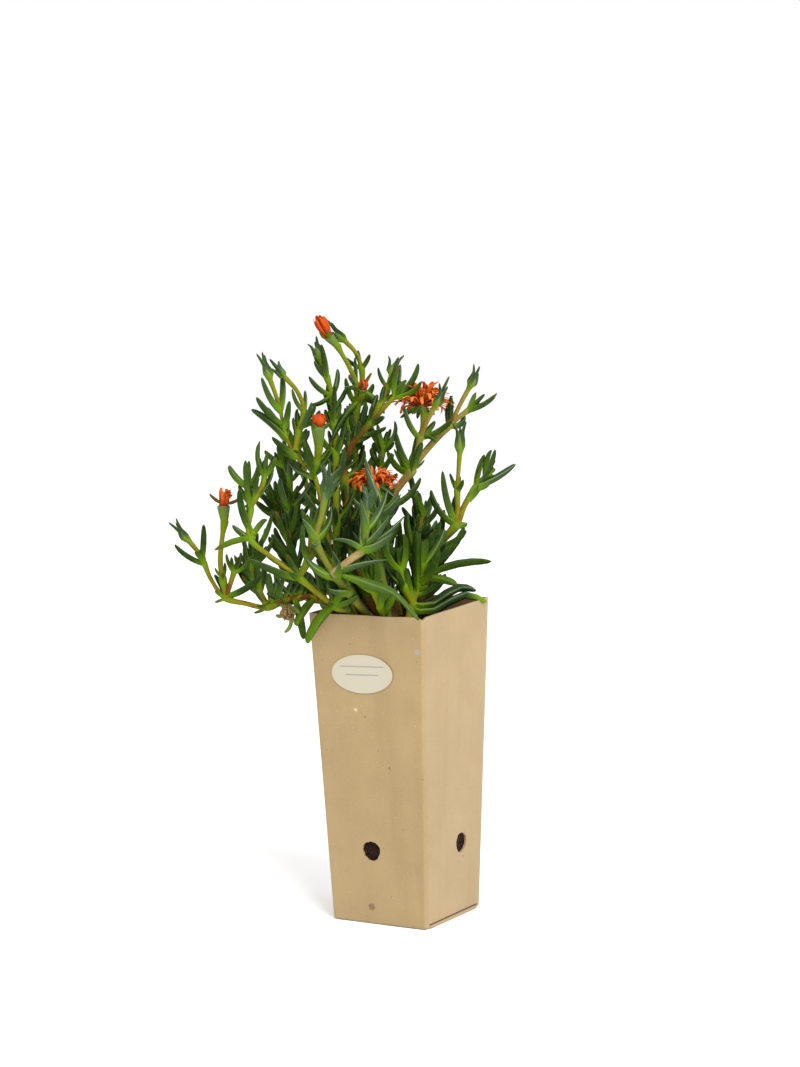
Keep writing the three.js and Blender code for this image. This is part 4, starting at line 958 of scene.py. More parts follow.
leafy = {
    # place along a leaf or bud, and its width there as a share of its widest
    "leafRows": ((0, 0.95), (0.14, 1.02), (0.32, 1.06), (0.5, 1.04), (0.67, 0.97), (0.81, 0.84), (0.92, 0.62),
                 (0.98, 0.37), (1, 0.08)),
    "bluntRows": ((0, 0.9), (0.12, 0.96), (0.32, 1.03), (0.55, 1.05), (0.74, 0.98), (0.87, 0.83),
                  (0.945, 0.6), (0.985, 0.34), (1, 0.06)),
    "fleshyRows": ((0, 0.8), (0.1, 1.0), (0.3, 1.16), (0.55, 1.2), (0.75, 1.12), (0.87, 0.98), (0.94, 0.78),
                   (0.98, 0.5), (1, 0.1)),
    "drapedRows": ((0, 0.4), (0.1, 0.5), (0.22, 0.85), (0.34, 1.18), (0.46, 1.2), (0.58, 0.98), (0.68, 0.72),
                   (0.78, 0.56), (0.88, 0.52), (0.96, 0.42), (1, 0.15)),
    "pointedRows": ((0, 0.95), (0.12, 1.06), (0.28, 1.02), (0.45, 0.9), (0.62, 0.74), (0.78, 0.54),
                    (0.9, 0.32), (0.97, 0.17), (1, 0.04)),
    "sepalRows": ((0, 0.3), (0.1, 0.72), (0.22, 0.95), (0.36, 1), (0.52, 0.93), (0.68, 0.8), (0.82, 0.66),
                  (0.93, 0.5), (1, 0.14)),
    "budRows": ((0, 0.5), (0.12, 0.62), (0.28, 0.84), (0.42, 1), (0.56, 0.97), (0.72, 0.76), (0.88, 0.42),
                (1, 0.08)),
    "cupRows": ((0, 0.6), (0.15, 0.64), (0.35, 0.74), (0.6, 0.88), (0.85, 1.0), (0.97, 1), (1, 0.9)),
    "stemStep": 2.0,
    "stemPlump": 1.28,
    "slim": 0.85,            # a main stem's share of that, up to its last quarter
    "headSwell": 0.8,        # under a bloom; under a bud it is less
    "budSwell": 0.3,
    "coneReach": 13.0,       # how far below a bud or bloom its stem starts to widen
    "jointSwell": 0.55,      # a stem widens like a vase below each pair of leaves and is thin again above it
    "jointBelow": 7.0,
    "jointAbove": 1.6,
    "footDepth": 7.0,
    "twist": 0.5,
    "youngChance": 0.7,     # small bright leaves in a joint, of a size that only the picture needs
    "youngLength": (6, 11),
    "dryChance": 0.07,
    "shorten": (0.8, 1.0),       # each leaf of a pair keeps this share of its length and of its width
    "shortenTip": (0.62, 0.85),
    "narrow": (0.85, 1.06),
    "stray": 0.05,           # how far a leaf's tip wanders, as a share of its length
    "budSepals": 3,
}
# leaves in the thick parts of the plant: tries per millimetre of stem, around what centre and how far out
fills = (
    dict(every=0.7, centre=(-18, 22, 240), reach=(66, 48, 60), length=(14, 26)),
    dict(every=0.8, centre=(-80, 14, 266), reach=(24, 48, 34), length=(13, 22)),
    dict(every=1.0, centre=(-82, 6, 244), reach=(24, 34, 24), length=(14, 22)),
    dict(every=0.32, centre=(-46, 8, 312), reach=(44, 44, 50), length=(10, 18)),
)
# what the picture shows of single buds and blooms, by stem and by their order on it: how far they are
# raised or moved, how wide and how waxy they are, and their sepals
headNotes = {
    "stem_low_left": {0: dict(wide=0.8, sepal=1.35), 1: dict(lift=3, wide=1.2, aside=(-2.4, 0, 0))},
    "stem_upper_left": {0: dict(wide=0.95, sepal=1.35), 1: dict(lift=8.5, wide=1.35, aside=(-3.2, 0, 0)),
                        2: dict(wide=0.72, sepal=1.1, wax=0.5)},
    "stem_trunk": {0: dict(wide=1.05, sepal=1.1)},
    "stem_pink": {0: dict(wide=0.85, sepal=1.2)},
    "stem_tall": {0: dict(lift=0, aside=(-2.4, 0, 0)), 1: dict(wide=0.95, sepal=1.2),
                  2: dict(lift=-4.5, aside=(-1.6, 0, 0))},
    "stem_centre": {0: dict(aside=(-3.2, 0, 1.7))},
    "stem_right_top": {0: dict(aside=(-3.5, 0, -2)), 1: dict(lift=2, wide=0.8, sepal=1.4),
                       2: dict(wide=0.85, sepal=1.1)},
    "stem_right": {0: dict(lift=6, wide=0.85, sepal=1.3)},
    "stem_front": {0: dict(wide=0.75, sepals=6, sepal=1.1, wax=0.8, spread=3.0),
                   1: dict(wide=0.75, sepals=11, sepal=0.95, wax=0.9, spread=6)},
}
# how bright, how waxy and how red each stem is; the rest are as "other"
stemLooks = {
    "other": dict(tone=0.14, wax=0.22, red=0.4, young=0.4),
    "stem_fan": dict(tone=0.08, wax=0.05, red=0.2, young=0.45, rows="bluntRows"),
    "stem_front": dict(tone=0.1, wax=1.3, red=0.6, young=0.35, rows="pointedRows", base=0.08, wide=1.25,
                       slim=1),
    "stem_centre": dict(tone=0.1, wax=1.35, red=0.5, young=0.4, rows="pointedRows", base=0.08, wide=1.25,
                        slim=1),
    "stem_pink": dict(tone=0.14, wax=0.25, red=1.0, young=0.1, redEnds=(0.68, 0.95), slim=1),
    "stem_low_left": dict(tone=0.14, wax=0.2, red=2.4, young=0.08, redEnds=(0.34, 0.55), slim=0.78),
    "stem_front_left": dict(tone=0.16, wax=0.35, red=0.5, young=0.35, slim=0.72),
    "stem_upper_left": dict(tone=0.14, wax=0.25, red=0.9, young=0.25, slim=0.5),
    "stem_mid_left": dict(tone=0.14, wax=0.22, red=0.4, young=0.4, slim=0.75),
    "stem_low_front": dict(tone=0.55, wax=0.1, red=0.2, young=0.5),
    "stem_trunk": dict(tone=0.14, wax=0.25, red=0.3, young=0.7, slim=0.75),
    "stem_right": dict(tone=0.12, wax=0.25, red=0.5, young=0.35, slim=1),
    "stem_right_top": dict(tone=0.14, wax=0.25, red=0.6, young=0.15, pale=0.2, slim=1.12),
}


def rowsAt(rows, t):
    return float(np.interp(t, [row[0] for row in rows], [row[1] for row in rows]))


def frameAt(direction, hint):
    # a unit vector square to the direction and as near the hint as can be
    side = hint - direction * np.dot(hint, direction)
    if np.linalg.norm(side) < 0.15:
        side = np.cross(direction, np.array([0.3, 0.8, 0.52]))
    return unit(side)


def addLeaf(guide, curve, width, rows, shift, traits, rng):
    places = [row[0] for row in rows]
    turn = rng.uniform(-1, 1) * leafy["twist"]
    dry, wave, arch = traits.get("dryTip", 0), traits.get("wave", 0), traits.get("arch", 0)
    reach = np.array(traits.get("reach", (0, 0, 0)), float)
    points, keels, radii, glow, dryness = [], [], [], [], []
    short = traits.get("short", 1)
    for place, share in rows:
        t = place * short
        tangent = curve.tangent(t)
        points.append(curve.point(t) + shift * (1 - t) ** 2
                      - curve.inner(t) * wave * math.sin(2 * math.pi * t)
                      + reach * place * place + up * arch * math.exp(-((t - 0.68) / 0.2) ** 2)
                      - up * traits.get("droop", 0) * ramp(place, 0.7, 1.05))
        keels.append(turnedBy(-curve.inner(t), tangent, turn * t))
        shrink = 1 - 0.45 * dry * ramp(place, 0.8, 0.95)
        radii.append(width / math.sqrt(3) * share * shrink)
        glow.append(max(0.85 * math.exp(-(t * curve.length / traits["glowReach"]) ** 1.5),
                        traits.get("lit", 0), traits.get("limeTip", 0) * ramp(place, 0.75, 0.92)))
        dryness.append(max(dry * ramp(place, 0.78, 0.92), 0.35 * ramp(place, 0.985, 1),
                           traits.get("allDry", 0)))
    addLine(guide, points, keels, thickness=radii, leafy=1.0, along=places, tone=traits["tone"],
            wax=traits["wax"], glow=glow, dry=dryness)


def ramp(value, low, high):
    share = min(1, max(0, (value - low) / (high - low)))
    return share * share * (3 - 2 * share)


def addStem(guide, route, line, look, isFirst):
    last = len(route["path"]) - 1
    thick, thin = route["thick"]
    count = max(4, math.ceil(line.length / leafy["stemStep"]))
    joints = [place / last for place in route["nodes"]] + ([] if isFirst else [0.0])
    toBloom = route["end"] in blooms
    headSwell = leafy["headSwell"] if toBloom else leafy["budSwell"] * ("bud" in route["end"])
    plump, pink = route.get("plump"), [look.get("pale", 0.0) * (not toBloom)] * (count + 1)
    points, keels, radii, glow, red = [], [], [], [], []
    for i in range(count + 1):
        t = i / count
        tangent = unit(line.smooth(min(1, t + 0.01)) - line.smooth(max(0, t - 0.01)))
        ahead = [(joint - t) * line.length for joint in joints]
        gaps = [gap / leafy["jointBelow"] if gap > 0 else -gap / leafy["jointAbove"] for gap in ahead]
        near = min(gaps + [9])
        swell = leafy["jointSwell"] * math.exp(-near ** 1.5)
        swell += headSwell * ramp(t * line.length, line.length - leafy["coneReach"], line.length)
        if plump:
            low, high, more = plump
            swell += more * (ramp(t, low - 0.06, low + 0.02) - ramp(t, high - 0.05, high + 0.08))
            pink[i] = 0.85 * (ramp(t, low - 0.06, low + 0.06) - ramp(t, high - 0.12, high + 0.1))
        tip = 1 - 0.5 * ramp(t * line.length, line.length - 2.5, line.length) * (route["end"] == "tuft")
        points.append(line.smooth(t))
        keels.append(frameAt(tangent, line.across))
        slim = 1 + (look.get("slim", leafy["slim"]) - 1) * (1 - ramp(t, 0.7, 0.92)) * isFirst
        radii.append((thick + (thin - thick) * t) * leafy["stemPlump"] * slim * (1 + swell) * tip)
        greener = 0.6 * ramp(t, 0.55, 1) if route["end"] != "stalk" else 0.2
        glow.append(min(1, look["young"] * 0.6 + 0.7 * math.exp(-near ** 2) + greener * 0.6 + 0.3 * toBloom))
        share = 0.2 if toBloom else 1 if isFirst else 0.4
        red.append(look["red"] * (1 - 0.8 * ramp(t, *look.get("redEnds", (0.5, 1.2)))) * share)
    if isFirst:
        points.insert(0, points[0] - up * leafy["footDepth"])
        for values in (keels, radii, glow, pink, red):
            values.insert(0, values[0])
    glow = [bright * (1 - pale) for bright, pale in zip(glow, pink)]
    addLine(guide, points, keels, thickness=radii, red=red, tone=pink, glow=glow, wax=look["wax"] * 0.25)


def addHead(guide, head, look, rng):
    axis, kind, note = head["axis"], head["kind"], head["note"]
    rows = leafy["cupRows"] if head["bloom"] else leafy["budRows"]
    height = kind["height"] * head["scale"]
    lift, aside = note.get("lift", 0), np.array(note.get("aside", (0, 0, 0)), float)
    low, more, start = (0.3, 0.3, 0.3) if head["bloom"] else (note.get("wax", 0.2), 0.4, 0.4)
    waxes = [low + more * ramp(t, start, 0.9) for t, _ in rows]
    radius = kind["radius"] * head["scale"] * note.get("wide", 1) * (1 if head["bloom"] else 0.95)
    swell = leafy["headSwell" if head["bloom"] else "budSwell"]
    root = head["thin"] * leafy["stemPlump"] * (1 + swell) * 1.01
    points = [axis.point(t) + (head["along"] * lift + aside) * t for t, _ in rows]
    radii = [max(radius * share, root * (1 - 0.4 * ramp(t, 0, 0.6))) for t, share in rows[:-1]]
    dull = 0.3 * (not head["bloom"])
    addLine(guide, points, [head["across"]] * len(rows), thickness=radii + [radius * rows[-1][1]],
            glow=[0.6 + 0.3 * ramp(t, 0, 0.3) - dull * ramp(t, 0.4, 0.9) for t, _ in rows],
            wax=[wax * ramp(t, 0, 0.35) for wax, (t, _) in zip(waxes, rows)],
            red=[0.2 * look["red"] * (1 - ramp(t, 0, 0.4)) for t, _ in rows])
    if head["bloom"]:
        addBloomSepals(guide, head, look, rng, height, lift, aside)
    else:
        addBudSepals(guide, head, look, rng, height, radius, lift)


def addBloomSepals(guide, head, look, rng, height, lift, aside):
    isBrown = head["name"] in ("bloom_left", "bloom_small")
    for curve in head["sepals"]:
        curve.start = curve.start + head["along"] * (height * (0.75 if isBrown else 0.35) + lift) + aside
        traits = dict(tone=look["tone"] + 0.12, wax=look["wax"], glowReach=4.0, allDry=0.85 * isBrown)
        wide = growth["sepal"]["width"] * (0.85 if isBrown else 1.1)
        addLeaf(guide, curve, wide, leafy["sepalRows"], np.zeros(3), traits, rng)


def addBudSepals(guide, head, look, rng, height, radius, lift):
    # dark pointed sepals that hug the bud and turn outwards past its tip
    note = head["note"]
    count = note.get("sepals", leafy["budSepals"])
    for i in range(count):
        turned = turnedBy(head["across"], head["along"], 2 * math.pi * i / count + rng.uniform(-0.4, 0.4))
        low = height * (0.22 if count < 5 else rng.uniform(0.0, 0.5))
        high = low + height * rng.uniform(0.7, 1.25) * note.get("sepal", 1)
        flare = note.get("spread", 0.5) + rng.uniform(0, 8 if count < 5 else 5)
        points, radii, glow = [], [], []
        for t, share in leafy["sepalRows"]:
            rise = low + t * (high - low)
            out = radius * rowsAt(leafy["budRows"], min(1, rise / height))
            points.append(head["axis"].point(0) + head["along"] * (rise + lift * min(1, rise / height))
                          + turned * (out * (0.7 + 0.25 * ramp(t, 0, 0.25)) + 0.5 * ramp(t, 0, 0.3)
                                      + flare * ramp(t, 0.35, 1.3)))
            radii.append(growth["sepal"]["width"] * 0.52 * head["scale"] * share)
            glow.append((0.75 if count < 5 else 0.3) * (1 - ramp(t, 0.0, 0.4)))
        addLine(guide, points, [turned] * len(points), thickness=radii, leafy=1.0,
                along=[t for t, _ in leafy["sepalRows"]], tone=max(0, look["tone"] - 0.06),
                wax=min(1, look["wax"] + note.get("wax", 0.25)), glow=glow)


def addYoungLeaves(guide, stem, route, line, look, rng):
    # short bright pairs in the joints, where no other leaf is
    last = len(route["path"]) - 1
    for i, place in enumerate(route["nodes"]):
        if rng.random() > leafy["youngChance"]:
            continue
        t = min(1 - 2 / line.length, place / last + 1.2 / line.length)
        along = line.tangent(t)
        across = unit(np.cross(along, line.across))
        thick, thin = route["thick"]
        for half in (0, 180):
            turned = turnedBy(across, along, math.radians(route["turn"] + 90 * (i % 2) + 90 + half))
            length = rng.uniform(*leafy["youngLength"])
            root = line.smooth(t) + turned * (thick + (thin - thick) * t) * 0.5
            heading = leaning(along, turned, math.radians(rng.uniform(16, 36)))
            curve = Arc(root, heading, along + up * 0.5, length, rng.uniform(0.1, 0.5))
            if hasRoom(stem["name"], curve, root, lambda t: 0.8, 4, 0.5):
                traits = dict(tone=look["tone"] + 0.35, wax=look["wax"] * 0.5, glowReach=3.5)
                addLeaf(guide, curve, rng.uniform(1.7, 2.5), leafy["leafRows"], np.zeros(3), traits, rng)


def addFillLeaves(guide, stem, route, line, look, rng):
    # the many leaves of the thick middle, where the solids leave room
    ends = route["nodes"][-1:] or [0]
    highest = 0.97 if route["end"] in ("tuft", "none") else ends[0] / (len(route["path"]) - 1)
    for fill in [fill for fill in fills for _ in range(round(line.length * fill["every"]))]:
        t = rng.uniform(0.06, 0.97)
        if t > highest:     # the stalk of a bud or bloom is bare
            continue
        root = line.smooth(t)
        if np.linalg.norm((root - np.array(fill["centre"])) / np.array(fill["reach"])) > 1:
            continue
        along = line.tangent(t)
        across = unit(np.cross(along, line.across))
        turned = turnedBy(across, along, rng.uniform(0, 2 * math.pi))
        length = rng.uniform(*fill["length"])
        width = leafWidth(length)
        lean = math.radians(rng.uniform(28, 66))
        heading = leaning(along, turned, lean)
        if heading[2] < 0:
            continue
        curve = Arc(root + turned, heading, along + up * 0.7, length, lean * rng.uniform(0.5, 1.1))
        shape = growth["shapes"][-1][1]
        if hasRoom(stem["name"], curve, root, lambda t: leafRadius(shape, width, t) * 0.85, 5, 0.9):
            traits = dict(tone=max(0, look["tone"] + rng.normal(-0.04, 0.12)),
                          wax=look["wax"] * rng.uniform(0.4, 1),
                          glowReach=length * rng.uniform(0.14, 0.24), dryTip=float(rng.random() < 0.05))
            addLeaf(guide, curve, width * 1.1, leafy["bluntRows"], np.zeros(3), traits, rng)


def addLeaves(guide, stem, look, rng):
    for i, leaf in enumerate(stem["leaves"]):
        curve, note = leaf["curve"], leafNotes.get(stem["name"], {}).get(i, {})
        shift, place = np.zeros(3), 0
        if leaf["line"] is not None:
            line, place = leaf["line"], leaf["t"]
            shift = line.smooth(place) - line.point(place)
        kind = leaf["look"] or note.get("look")
        bright = {"bright": 0.62, "draped": 0.55}.get(kind, 0)
        rows = {"bright": "fleshyRows", "draped": "drapedRows", "overRim": "bluntRows"}.get(
            kind, look.get("rows", "leafRows"))
        reach = np.array(leaf["reach"], float) + note.get("reach", (0, 0, 0))
        short, wide = 1, leaf["width"]
        if leaf["line"] is not None:
            short = rng.uniform(*leafy["shortenTip" if place > 0.95 else "shorten"])
            wide *= rng.uniform(*leafy["narrow"]) * look.get("wide", 1)
            reach = reach + rng.normal(0, leafy["stray"] * curve.length, 3)
        # leaves low on their stem are drawn darker: partly older leaves, partly painted shade inside the
        # plant
        tone = bright or max(0, look["tone"] + rng.normal(0, 0.09) + 0.15 * (place - 0.6))
        wax = {"bright": 0.04, "draped": 0.35}.get(kind, 0)
        if not bright:
            wax = look["wax"] * rng.uniform(0.3, 1.1)
            wax = min(1, wax + 0.4 * (kind == "overRim" or rng.random() < 0.2))
        traits = dict(tone=tone, wax=wax,
                      glowReach=max(3, curve.length * (rng.uniform(0.15, 0.26) + 0.12 * ramp(place, 0.6, 1)
                                                       + look.get("base", 0))),
                      dryTip=float(rng.random() < leafy["dryChance"]) * rng.uniform(0.6, 1) * (kind is None),
                      wave=4.0 * (kind == "overRim"), arch=4.0 * (kind == "draped"),
                      lit={"bright": 0.2, "draped": 0.1}.get(kind, 0), reach=reach, short=short)
        traits.update({name: value for name, value in note.items() if name not in ("reach", "look", "wide")})
        addLeaf(guide, curve, wide * note.get("wide", 1), leafy[rows], shift, traits, rng)


# what the picture shows of single leaves, by stem and by their order on it: how much of each is kept, how
# far its tip is moved, and how it looks
leafNotes = {
    "stem_low_left": {
        4: dict(tone=0.1, lit=0), 5: dict(short=0.35, wide=0.6), 6: dict(short=0.3, wide=0.6),
        8: dict(short=0.3, wide=0.6), 9: dict(short=0.5), 10: dict(short=0.45), 11: dict(short=0.4),
        12: dict(short=0.4)},
    "stem_front_left": {
        2: dict(look="bright", reach=(0, 0, -4), dryTip=0.8, wide=0.8, short=0.92), 7: dict(short=0.45),
        8: dict(short=0.5), 9: dict(short=0.6), 10: dict(reach=(7, 0, -12), short=0.9, dryTip=0.7),
        11: dict(short=0.55)},
    "stem_mid_right": {
        5: dict(short=0.7), 9: dict(short=0.8, reach=(-8, 0, 2)), 6: dict(short=0.5), 12: dict(short=0.6),
        13: dict(short=0.3), 14: dict(reach=(-4, 0, 0)), 15: dict(reach=(-9, 0, 2)), 16: dict(short=0.3),
        17: dict(short=0.3, reach=(-6, 0, 0)), 18: dict(reach=(-10, 0, 0)),
        19: dict(short=0.8, reach=(-10, 0, -2))},
    "stem_pink": {8: dict(short=0.7, reach=(-4, 0, 5))},
    "stem_right": {
        4: dict(reach=(-8, 0, 2), short=0.85), 7: dict(short=0.7), 8: dict(short=0.35), 10: dict(short=0.8),
        11: dict(short=0.5), 13: dict(short=0.6), 14: dict(short=0.35), 15: dict(short=0.75),
        16: dict(short=0.5), 17: dict(short=0.5), 18: dict(short=0.6)},
    "stem_right_top": {16: dict(reach=(-10, 0, 3), short=0.9)},
    "stem_fan": {
        0: dict(wide=1.15), 1: dict(droop=5, limeTip=0.8, reach=(1, -2, -1), wide=1.2),
        5: dict(short=0.3, wide=0.7)},
}
# longer leaves that only the picture needs, by stem: start, tip, bend and how bright
extraBlades = {
    "stem_low_left": (
        ((-88, -12, 223), (-89.5, -6, 244), 15, 0.1), ((-84, -12, 225), (-78, -4, 243), -20, 0),
        ((-72, -12, 226), (-84, -9, 241), 30, 0), ((-80, -14, 226), (-87.5, -12, 233), 20, 0.7),
        ((-66, -14, 226), (-80, -17, 221), -25, 0), ((-92, -16, 224), (-99, -20, 236), 20, 0),
        ((-78, -12, 226), (-67, -4, 241), 20, 0), ((-70, -10, 227), (-62, -2, 243), 20, 0),
        ((-76, -16, 226), (-91, -17, 232), 25, 0.1), ((-64, -12, 226), (-74, -2, 240), 25, 0),
        ((-86, -14, 224), (-93, -2, 246), 15, 0), ((-82, -14, 225), (-85.5, -1, 245), -10, 0),
        ((-70, -12, 226), (-76, 0, 240), 20, 0), ((-60, -12, 226), (-61.5, 2, 242), -15, 0),
        ((-52, -10, 223), (-58, 2, 248), 15, 0), ((-80, -16, 226), (-72, -4, 240), -10, 0),
        ((-66, -16, 227), (-60.5, -4, 238), -10, 0), ((-89, -18, 223), (-83.5, -6, 241), 5, 0)),
    "stem_centre": (
        ((-12, -42, 288), (-20.5, -56, 328.5), 16, 0), ((-12, -43, 287), (-19.5, -60, 321), 8, 0),
        ((-11, -41, 284), (3, -56, 303), 34, 0), ((-13, -41, 284), (-29, -57, 301), 38, 0),
        ((-12, -42, 286), (-12, -52, 302), 10, 0)),
    "stem_tall": (((-22, 3, 366), (-12, 0, 349), -105, 0), ((-24, 3, 366), (-34, -4, 371), -50, 0)),
    "stem_right_top": (((19, -6, 337), (28, -12, 333), -60, 0.4),),
    "stem_low_front": (((-14, -40, 214), (-3, -51, 232), -20, 1),),
    "stem_fan": (((19, -19, 240), (40, -24, 235.5), -30, 0.7),),
    "stem_front_left": (
        ((-45, -36, 222), (-37, -47, 241), 24, 0.8), ((-46, -36, 222), (-48, -46, 242), -14, 0.3),
        ((-44, -36, 223), (-28, -44, 233), 30, 0.6)),
}


def addExtraBlades(guide, stem, look, rng):
    for start, tip, bend, bright in extraBlades.get(stem["name"], ()):
        start = nearestOf(stem["lines"], np.array(start, float))
        curve, length = bladeArc(start, np.array(tip, float), bend)
        traits = dict(tone=max(bright, look["tone"] + 0.1), wax=(look["wax"] + 0.1) * (1 - bright),
                      glowReach=length * 0.25)
        rows = leafy["fleshyRows" if bright > 0.9 else look.get("rows", "leafRows")]
        addLeaf(guide, curve, leafWidth(length) * (1.05 + 0.35 * bright), rows, np.zeros(3), traits, rng)


def makeStems():
    for s, stem in enumerate(stems):
        look = stemLooks.get(stem["name"], stemLooks["other"])
        rng = np.random.default_rng(7100 + s)
        guide = newGuide()
        for route, line in zip(stem["routes"], stem["lines"]):
            addStem(guide, route, line, look, line is stem["lines"][0])
        for i, head in enumerate(stem["heads"]):
            head["note"] = headNotes.get(stem["name"], {}).get(i, {})
            addHead(guide, head, look, rng)
        addLeaves(guide, stem, look, rng)
        addExtraBlades(guide, stem, look, rng)
        for route, line in zip(stem["routes"], stem["lines"]):
            addYoungLeaves(guide, stem, route, line, look, rng)
            addFillLeaves(guide, stem, route, line, look, rng)
        name = stem["name"].replace("stem_", "leafy_")
        piece = runNodes(name, guideMesh(name, guide), stemTree,
                         dict(sweepSizes, **{"Stem skin": stemSkin, "Leaf skin": leafSkin}))
        settle(piece, "leaf", stem["name"])


makeStems()
print("leafy stems dressed")


# blooms

# the petals of each bloom: their count, length and half width in mm, lean in degrees, ring of roots, curl
# and sway, and how many stamens stand in it
bloomLooks = {
    "bloom_top": dict(count=32, length=(14, 17), lean=(3, 18), ring=(1.0, 2.4), curl=(0.4, 1.1), sway=0.15,
                      half=1.6, twist=0.2, threads=0, tone=(0, 0.12)),
    "bloom_left": dict(count=28, length=(10.5, 14.5), lean=(0, 12), ring=(0.6, 2.8), curl=(0.2, 2.6),
                       sway=0.6, half=1.6, twist=0.6, threads=0, tone=(0.1, 0.5)),
    "bloom_dome": dict(count=26, length=(9.6, 10.4), lean=(14, 27), ring=(2.2, 3.0), curl=(1.7, 2.1),
                       sway=0.05, half=1.8, twist=0.05, threads=0, tone=(0, 0.2)),
    "bloom_small": dict(count=16, length=(7, 8), lean=(8, 20), ring=(1.0, 2.4), curl=(1.2, 1.7), sway=0.05,
                        half=1.7, twist=0.05, threads=0, tone=(0, 0.2)),
    # bloom_right's high tone draws its petals light, partly painted light
    "bloom_right": dict(count=120, length=(17, 22), lean=(0, 72), ring=(1.0, 4.0), curl=(-3.0, -0.2),
                        sway=0.5, half=1.35, twist=0.35, threads=16, tone=(0.4, 1), spread=(1.3, 0.8, 1)),
    "bloom_centre": dict(count=76, length=(14, 18), lean=(2, 64), ring=(1.0, 3.6), curl=(-4.2, -1.4),
                         sway=0.7, half=1.1, twist=0.4, threads=16, tone=(0, 0.7), spread=(1, 0.3, 0.3)),
}
strapRows = ((0, 0.5), (0.16, 0.72), (0.32, 0.88), (0.48, 0.97), (0.64, 1), (0.78, 0.98), (0.9, 0.88),
             (0.97, 0.62), (1, 0.3))
strapPlaces = [place for place, _ in strapRows]
strapWidths = np.array([wide for _, wide in strapRows])


def strapPath(start, heading, towards, length, curl, sway, places):
    # a strap's centre line: it bends towards one direction, most at its end, and wanders to the side
    ahead = unit(heading)
    aside = frameAt(ahead, towards)
    side = np.cross(ahead, aside)
    points, faces = [np.array(start)], [aside]
    for before, after in zip(places, places[1:]):
        share, step = (before + after) / 2, after - before
        turn = curl * 3 * share ** 2 * step
        ahead, aside = leaning(ahead, aside, turn), leaning(aside, -ahead, turn)
        wander = sway * math.cos(3 * share) * step
        ahead, side = leaning(ahead, side, wander), leaning(side, -ahead, wander)
        points.append(points[-1] + ahead * length * step)
        faces.append(frameAt(ahead, aside))
    return points, faces


def addStraps(guide, head, look, rng):
    note = head["note"]
    base = head["top"] + head["along"] * (note.get("lift", 0) - 0.8) + note.get("aside", (0, 0, 0))
    for i in range(look["count"]):
        share = (i + 0.5) / look["count"]
        turned = turnedBy(head["across"], head["along"], i * goldenAngle)
        turned = unit(turned * look.get("spread", (1, 1, 1)))
        lean = math.radians(look["lean"][0] + (look["lean"][1] - look["lean"][0]) * share)
        start = base + turned * (look["ring"][0] + (look["ring"][1] - look["ring"][0]) * share)
        points, faces = strapPath(start, leaning(head["along"], turned, lean), head["along"] - turned,
                                  rng.uniform(*look["length"]), rng.uniform(*look["curl"]),
                                  rng.normal(0, look["sway"]), strapPlaces)
        twist = rng.normal(0, look["twist"])
        last = len(strapPlaces) - 1
        keels = []
        for k, place in enumerate(strapPlaces):
            tangent = unit(points[min(last, k + 1)] - points[max(0, k - 1)])
            keels.append(turnedBy(frameAt(tangent, faces[k]), tangent, twist * place))
        half = look["half"] * rng.uniform(0.85, 1.15)
        addLine(guide, points, keels, thickness=half * strapWidths, along=strapPlaces,
                tone=rng.uniform(*look["tone"]),
                dry=[0.5 * ramp(t, 0.93, 1) * (rng.random() < 0.25) for t in strapPlaces])


def addThreads(guide, head, look, rng):
    # stamens, thin and paler than the petals
    for i in range(look["threads"]):
        turned = turnedBy(head["across"], head["along"], rng.uniform(0, 2 * math.pi))
        start = head["top"] - head["along"] * 0.5 + turned * rng.uniform(0.2, 1.6)
        heading = leaning(head["along"], turned, rng.uniform(0, 0.6))
        points, faces = strapPath(start, heading, head["along"] - turned, rng.uniform(4, 7),
                                  rng.uniform(-0.3, 0.8), 0, (0, 0.25, 0.5, 0.75, 1))
        addLine(guide, points, faces, thickness=[0.22, 0.2, 0.2, 0.32, 0.25], along=0.9, tone=1.0)


def makeBlooms():
    heads = {head["name"]: head for stem in stems for head in stem["heads"] if head["bloom"]}
    for b, (name, look) in enumerate(bloomLooks.items()):
        rng = np.random.default_rng(8200 + b)
        guide = newGuide()
        addStraps(guide, heads[name], look, rng)
        addThreads(guide, heads[name], look, rng)
        piece = runNodes("petals_" + name[6:], guideMesh(name, guide), strapTree,
                         dict(strapSizes, **{"Strap skin": petalSkin}))
        settle(piece, "petal", name)


makeBlooms()
print("blooms dressed")


# the withered bloom

withered = {
    "bodyRows": ((0, 0.35), (0.2, 0.6), (0.45, 0.95), (0.7, 1), (0.9, 0.9), (1, 0.6)),
    "ribs": 12,
    "scraps": 26,
    "scrapLength": (6, 12),
    "scrapHalf": 1.5,
    "shift": (-2.0, 0, 5.0),     # from the solid, at its stalk
    "lean": (5.5, 0, 4.5),       # and how much further to the right and up at its end
    # heading, length and curl of the green scraps
    "hooks": (((-0.5, -0.3, -1), 13, 1.9), ((0.2, -0.2, -1), 20, 1.3), ((0.9, -0.2, -0.4), 9, 0.8)),
    "hookHalf": 1.6,
}


